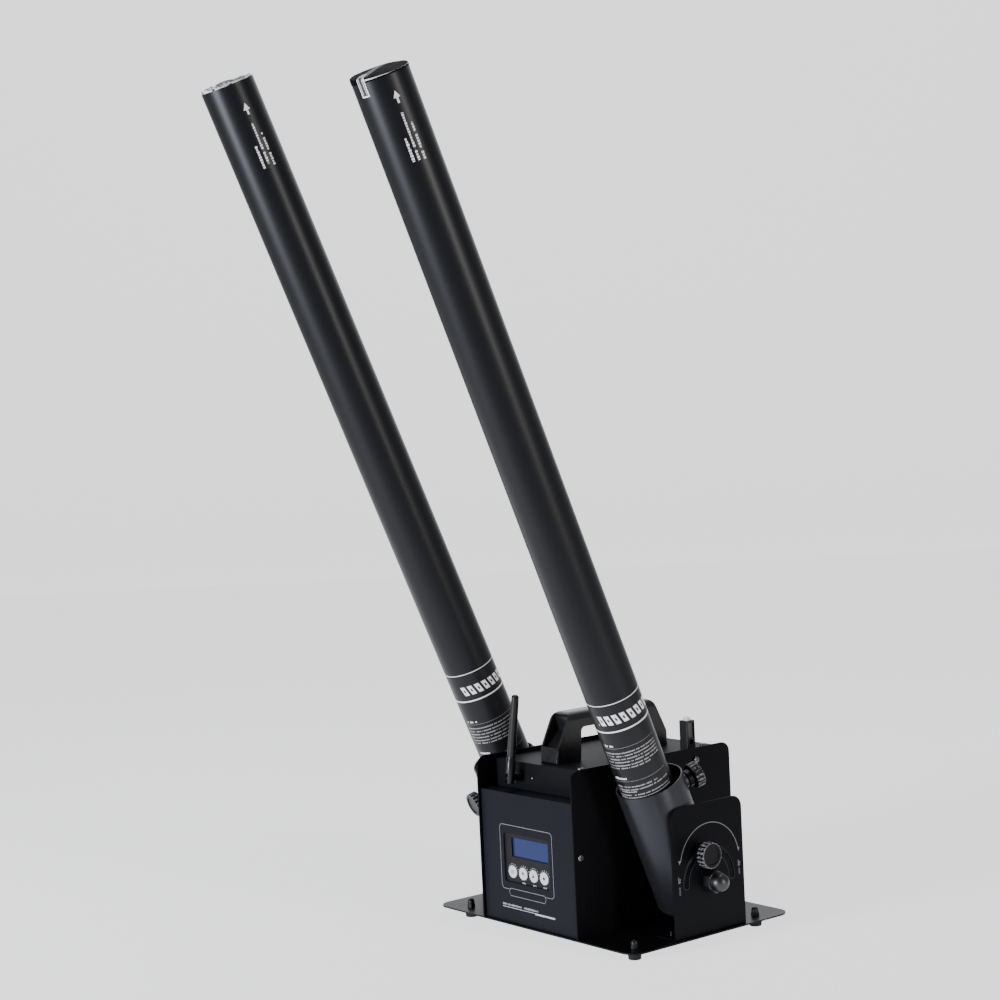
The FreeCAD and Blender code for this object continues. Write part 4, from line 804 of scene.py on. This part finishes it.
def crumple(skin, size, depth, kind="CLOUDS", seed=0.0):
    texture = bpy.data.textures.new(skin.name + " crumple " + str(seed), kind)
    texture.noise_scale = size
    group = skin.vertex_groups.new(name="crumple")
    for corner in skin.data.vertices:
        reach = math.hypot(corner.co.x, corner.co.y)
        top = min(1.0, max(0.0, (corner.co.z - 0.7975) / 0.002))
        group.add([corner.index], top * (0.35 if reach > 0.0245 else 1.0), "REPLACE")
    anchor = bpy.data.objects.new(skin.name + " anchor", None)
    anchor.location = (seed, seed * 0.7, 0)
    bpy.context.scene.collection.objects.link(anchor)
    bpy.context.view_layer.update()
    finish_modifier(skin, "DISPLACE", texture=texture, texture_coords="OBJECT", texture_coords_object=anchor,
                    vertex_group="crumple", strength=depth, mid_level=0.5, direction="Z")
    bpy.data.objects.remove(anchor)


MOUTH_RINGS = {
    "right": [(0.02512, 0.7982), (0.02520, 0.7986), (0.02522, 0.7994), (0.02520, 0.8002), (0.02500, 0.8010),
              (0.02450, 0.8013), (0.02380, 0.8013), (0.02250, 0.8014), (0.02050, 0.8016), (0.01800, 0.8018),
              (0.01550, 0.8020), (0.01300, 0.8022), (0.01050, 0.8023), (0.00800, 0.8023), (0.00550, 0.8023),
              (0.00300, 0.8023), (0.00100, 0.8023)],
    "left": [(0.02350, 0.7975), (0.02352, 0.7985), (0.02360, 0.7996), (0.02400, 0.8002), (0.02380, 0.8005),
             (0.02320, 0.8004), (0.02200, 0.8002), (0.02050, 0.8001), (0.01900, 0.8000), (0.01750, 0.8000),
             (0.01600, 0.8000), (0.01450, 0.8000), (0.01300, 0.8000), (0.01150, 0.8000), (0.01000, 0.8000),
             (0.00850, 0.8000), (0.00700, 0.8000), (0.00550, 0.8000), (0.00400, 0.8000), (0.00250, 0.8000),
             (0.00100, 0.8000)],
}


def lift_far_side(skin, toward, degrees):
    """The film is pulled up on one side: turn its top about the opposite rim point."""
    hinge = math.radians(toward + 180)
    anchor = (TUBE_R * math.cos(hinge), TUBE_R * math.sin(hinge), 0.8004)
    edit(skin, "VERT")
    pick(skin, lambda spot, way: spot.z > 0.8001, "verts")
    turned_by = Matrix.Rotation(math.radians(toward), 3, "Z")
    bpy.ops.transform.rotate(value=math.radians(-degrees), orient_axis="Y", orient_type="GLOBAL",
                             orient_matrix=[list(row) for row in turned_by.transposed()],
                             orient_matrix_type="GLOBAL", center_override=anchor)
    back_to_object()
    return max(corner.co.z for corner in skin.data.vertices)


def film_finish(side):
    """Paint for a mouth film: the skin itself, with painted shade along the foil's creases, then torn paper
    along the front rim.
    """
    foil = side == "left"
    skin = Finish(side + " mouth film", Specular_IOR_Level=0.5 if foil else 0.01)
    point = skin.place(BARREL[side])
    x, y, rise = skin.split(point)
    reach = skin.length(x, y, 0.0)
    swing = y.turned(x)
    creases = skin.noise(point, 260 if foil else 120, 4, 0.6)
    flakes = skin.noise(point, 700, 4, 0.7)
    outside = reach.above(0.0230, 0.0004)
    if foil:
        # On the foil the dark lines along the creases are painted shade between pale silver patches; outside
        # the rim the foil is painted near-black.
        folds = skin.noise(point, 170, 5, 0.75)
        bright = (abs(folds - 0.5) * 9.0).clamp() * (1.0 - outside)
        skin.set(Base_Color=skin.blend(bright, (0.02, 0.02, 0.024), (0.75, 0.75, 0.77)), Metallic=bright * 0.6)
        skin.set(Roughness=0.2 + creases * 0.2)
        skin.bump(creases, 1.0, 0.0016)
        ragged = rise - 0.7998 + flakes * 0.0012 - 0.0006
    else:
        band = abs(x * 0.910 + y * 0.415 + 0.0055).below(0.0032, 0.0002) * reach.below(0.0242, 0.0004)
        skin.set(Base_Color=skin.blend(band, (0.004, 0.004, 0.005), (0.20, 0.20, 0.22)))
        skin.set(Roughness=0.5 + creases * 0.15)
        skin.bump(creases, 0.6, 0.0010)
        ragged = rise - 0.7996 + flakes * 0.0016 - 0.0008
    low, high = (-140, 50) if foil else (-70, 48)
    rim = reach.above(0.0226 if foil else 0.0250, 0.0001)
    thin = rim * ragged.above(0.0, 0.0002) * swing.between(low, high, 6)
    gaps = skin.chance((swing / 7.0).floor(), 7.0, 1.0).above(0.25 if foil else 0.1, 0.02)
    return skin.ink(thin * gaps, (0.80, 0.80, 0.82)).material


for side, size, depth, kind in (("right", 0.014, 0.0012, "CLOUDS"), ("left", 0.0062, 0.0042, "CLOUDS")):
    cover = mouth_profile(side + "_mouth_film", MOUTH_RINGS[side])
    toward, degrees = (112.0, 5.0) if side == "right" else (140.0, 3.5)
    print(side, "film rises to", round(lift_far_side(cover, toward, degrees), 4))
    crumple(cover, size, depth, kind, 0.013 if side == "right" else 0.031)
    finish_modifier(cover, "SOLIDIFY", thickness=0.00008, offset=-1.0)
    placed(cover, BARREL[side])
    only(cover)
    bpy.ops.object.shade_smooth_by_angle(angle=math.radians(60 if side == "right" else 25))
    cover.data.materials.append(film_finish(side))
    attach(cover, BODY_OF[side + "_mouth_cover"])
    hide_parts(side + "_mouth_cover")
    SLOT_OF[side + "_mouth_cover"]
    pieces[side + "_mouth_cover"] = cover
    print(cover.name, "faces:", len(cover.data.polygons))

# %% [markdown]
# ## The pull tab
# A clear strip with white edges folds over the front of the right mouth. It is a
# narrow ladder of faces up the outside, over the rim and inwards. A flat grid is added
# and its rows are laid on the ladder's steps, each rung bent to the tube's own curve.
# Solidify gives it its thickness.

# %% Pull tab
TAB_STEPS = [(0.02518, 0.7868), (0.02518, 0.7905), (0.02518, 0.7942), (0.02524, 0.7972), (0.02536, 0.7985),
             (0.02540, 0.8003), (0.02520, 0.8019), (0.02440, 0.8027), (0.02250, 0.8032), (0.02000, 0.8037),
             (0.01750, 0.8040)]
TAB_ANGLES = (-88.0, -70.0)


def tab_spot(radius, height, share):
    angle = math.radians(TAB_ANGLES[0] + (TAB_ANGLES[1] - TAB_ANGLES[0]) * share)
    return Vector((radius * math.cos(angle), radius * math.sin(angle), height))


bpy.ops.object.select_all(action="DESELECT")
bpy.ops.mesh.primitive_grid_add(x_subdivisions=8, y_subdivisions=len(TAB_STEPS) - 1, size=1.0)
tab_strip = bpy.context.object
tab_strip.name = "mouth_pull_tab"
for corner in tab_strip.data.vertices:
    step = round((corner.co.y + 0.5) * (len(TAB_STEPS) - 1))
    corner.co = tab_spot(*TAB_STEPS[step], corner.co.x + 0.5)
finish_modifier(tab_strip, "SOLIDIFY", thickness=0.00015, offset=1.0)
placed(tab_strip, BARREL["right"])
only(tab_strip)
bpy.ops.object.shade_smooth_by_angle(angle=math.radians(50))

tape = Finish("clear tab with white edge", Specular_IOR_Level=0.5, Roughness=0.2)
x, y, rise = tape.split(tape.place(BARREL["right"]))
swing = y.turned(x)
middle, half = sum(TAB_ANGLES) / 2, (TAB_ANGLES[1] - TAB_ANGLES[0]) / 2
sides = abs(abs(swing - middle) - half + 1.3).below(1.1, 0.3)
inner = abs(abs(swing - middle) - half + 5.0).below(0.6, 0.3) * rise.above(0.7890, 0.0002)
foot = rise.below(0.7880, 0.0002)
edge = (sides + inner + foot).clamp()
tape.set(Base_Color=tape.blend(edge, (0.035, 0.036, 0.040), (0.80, 0.80, 0.81)))
tape.bump(tape.noise(tape.place(), 500, 3), 0.2, 0.0003)
tab_strip.data.materials.append(tape.material)
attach(tab_strip, BODY_OF["right_mouth_cover"])
print("pull tab faces:", len(tab_strip.data.polygons))

# %% [markdown]
# ## Numbers beside the tilt arc
# The arc on each bracket runs from one end mark to the other, with "90°" read from
# below at each end. Blender's own font gives the shape; it is turned into a mesh,
# stood on the bracket's outer face and rides on the same body.

# %% Tilt numbers
STROKE_SWELL, INK_LIFT = 0.00006, 0.00006
NUMBER_SIZE = 0.0044
NUMBER_SPOTS = ((-0.0384, 0.0545), (0.0384, 0.0575))  # along the bracket, above the plate


def tilt_number(side, along, height):
    sign = 1 if side == "right" else -1
    bpy.ops.object.select_all(action="DESELECT")
    bpy.ops.object.text_add(location=(0, 0, 0))
    number = bpy.context.object
    number.name = side + "_tilt_number_" + ("front" if along < 0 else "rear")
    number.data.body = "90°"
    number.data.size = NUMBER_SIZE
    number.data.align_x = "CENTER"
    number.data.align_y = "CENTER"
    number.data.offset = STROKE_SWELL
    bpy.ops.object.convert(target="MESH")
    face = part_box(side + "_bracket")[1 if sign > 0 else 0][0] + sign * INK_LIFT
    upright = Matrix(((0, 0, sign, face), (0, -sign, 0, along), (1, 0, 0, PLATE_TOP + height), (0, 0, 0, 1)))
    placed(number, upright)
    number.data.materials.clear()
    number.data.materials.append(NUMBER_INK)
    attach(number, BODY_OF[side + "_bracket"])
    return number


paint = Finish("white print", Specular_IOR_Level=0.2, Roughness=0.6)
chips = paint.noise(paint.place(), 1800, 4, 0.7)
paint.set(Base_Color=paint.blend(chips, (0.10, 0.10, 0.11), (0.30, 0.30, 0.33)))
NUMBER_INK = paint.material
numbers = [tilt_number(side, *spot) for side in ("right", "left") for spot in NUMBER_SPOTS]
print("numbers:", [number.name for number in numbers])

# %% [markdown]
# ## Floor, light and camera
# Black paint shows only what it reflects, so the studio is built around that. The
# floor sweeps up into a pale, glowing wall behind the blower, which gives its edges a
# bright rim. Away from the view the sweep's colour and glow are painted dark, a painted
# shade standing in for black flags, so the faces turned to the camera stay black. Two
# tall soft boxes draw the long streaks.

# %% Studio sweep
BEHIND = Vector((-0.7787, 0.6274, 0))
ACROSS = Vector((0.6274, 0.7787, 0))
only(frame["nodes"]["base_plate"])
bpy.ops.object.select_all(action="DESELECT")
bpy.ops.mesh.primitive_plane_add(size=2.0, location=(0, 0, 0))
sweep = bpy.context.object
sweep.name = "studio_sweep"
edit(sweep, "EDGE")
bpy.ops.mesh.select_all(action="SELECT")
bpy.ops.transform.resize(value=(11.0, 4.5, 1), center_override=(0, 0, 0))
bpy.ops.mesh.select_all(action="DESELECT")
pick(sweep, lambda spot, way: spot.y < -4.0, "edges")
bpy.ops.transform.translate(value=(0, -7.0, 0))
bpy.ops.mesh.select_all(action="DESELECT")
pick(sweep, lambda spot, way: spot.y > 4.0, "edges")
bpy.ops.mesh.spin(steps=24, angle=math.radians(90), center=(0, 4.5, 3.0), axis=(1, 0, 0))
bpy.ops.mesh.select_all(action="DESELECT")
pick(sweep, lambda spot, way: spot.z > 2.9, "edges")
bpy.ops.mesh.extrude_region_move(TRANSFORM_OT_translate={"value": (0, 0, 3.0)})
back_to_object()
under_feet = -0.0002
placed(sweep, Matrix(((ACROSS.x, BEHIND.x, 0, 0), (ACROSS.y, BEHIND.y, 0, 0),
                      (0, 0, 1, under_feet), (0, 0, 0, 1))))
only(sweep)
bpy.ops.object.shade_smooth()
paper = Finish("studio paper", Roughness=0.9, Specular_IOR_Level=0.1, Emission_Strength=1.45)
x, y, z = paper.split(paper.place())
sideways = abs(x * ACROSS.x + y * ACROSS.y)
away = x * BEHIND.x + y * BEHIND.y
# Outside this zone the sweep is painted dark in colour and glow: painted shade in place of black flags.
lit = (sideways - away * 0.27).below(0.95, 0.5) * away.above(-0.62, 0.4)
near = away.below(2.2, 2.4)
pale = paper.blend(near, (0.03, 0.03, 0.031), (0.26, 0.26, 0.265))
glowing = paper.blend(near, (1.06, 1.065, 1.09), (0.97, 0.975, 1.0))
paper.set(Base_Color=paper.blend(lit, (0.22, 0.22, 0.225), pale))
paper.set(Emission_Color=paper.blend(lit, (0.26, 0.265, 0.28), glowing))
sweep.data.materials.append(paper.material)
print("sweep faces:", len(sweep.data.polygons))

# %% Sky and soft boxes
world = bpy.data.worlds.new("studio")
bpy.context.scene.world = world
world.use_nodes = True
world.node_tree.nodes["Background"].inputs[0].default_value = (0.9, 0.92, 0.97, 1)
world.node_tree.nodes["Background"].inputs[1].default_value = 0.30


def softbox(name, place, target, size, power, tint=(1, 1, 1)):
    data = bpy.data.lights.new(name, "AREA")
    data.shape = "RECTANGLE"
    data.size, data.size_y = size
    data.energy = power
    data.color = tint
    lamp = bpy.data.objects.new(name, data)
    bpy.context.scene.collection.objects.link(lamp)
    lamp.location = place
    lamp.rotation_euler = (Vector(target) - Vector(place)).to_track_quat("-Z", "Y").to_euler()
    return lamp


softbox("front box", (-0.15, -2.1, 0.28), (0.0, -0.2, 0.8), (0.55, 0.45), 60, (0.92, 0.95, 1.0))
softbox("right box", (2.25, 0.22, 0.66), (0.0, -0.2, 0.6), (0.22, 1.1), 26, (1.0, 0.94, 0.88))
softbox("top box", (-0.3, 0.3, 2.4), (0, 0, 0.2), (1.2, 1.2), 25)

# %% [markdown]
# ## The photograph's camera
# The camera's place, roll and lens were worked out beforehand from the straight edges
# of the base plate, the housing and the brackets. It stands to the right of the front,
# nearly level, and is rolled a little.

# %% Camera
AZIMUTH, ELEVATION, ROLL = math.radians(51.138), math.radians(2.392), math.radians(-2.725)
CAMERA_SPOT = Vector((1.45817, -1.28820, 0.49162))
SENSOR, FOCAL_SHARE = 36, 2.01962
forward = Vector((-math.sin(AZIMUTH) * math.cos(ELEVATION), math.cos(AZIMUTH) * math.cos(ELEVATION),
                  -math.sin(ELEVATION)))
right = forward.cross(Vector((0, 0, 1))).normalized()
up = right.cross(forward)
turned_right = right * math.cos(ROLL) + up * math.sin(ROLL)
turned_up = up * math.cos(ROLL) - right * math.sin(ROLL)
camera_data = bpy.data.cameras.new("photo camera")
camera = bpy.data.objects.new("photo camera", camera_data)
bpy.context.scene.collection.objects.link(camera)
camera.matrix_world = Matrix((
    (turned_right.x, turned_up.x, -forward.x, CAMERA_SPOT.x),
    (turned_right.y, turned_up.y, -forward.y, CAMERA_SPOT.y),
    (turned_right.z, turned_up.z, -forward.z, CAMERA_SPOT.z),
    (0, 0, 0, 1)))
camera_data.sensor_width = SENSOR
camera_data.lens = SENSOR * FOCAL_SHARE
camera_data.clip_end = 100
bpy.context.scene.camera = camera
print("camera at", [round(value, 2) for value in CAMERA_SPOT])
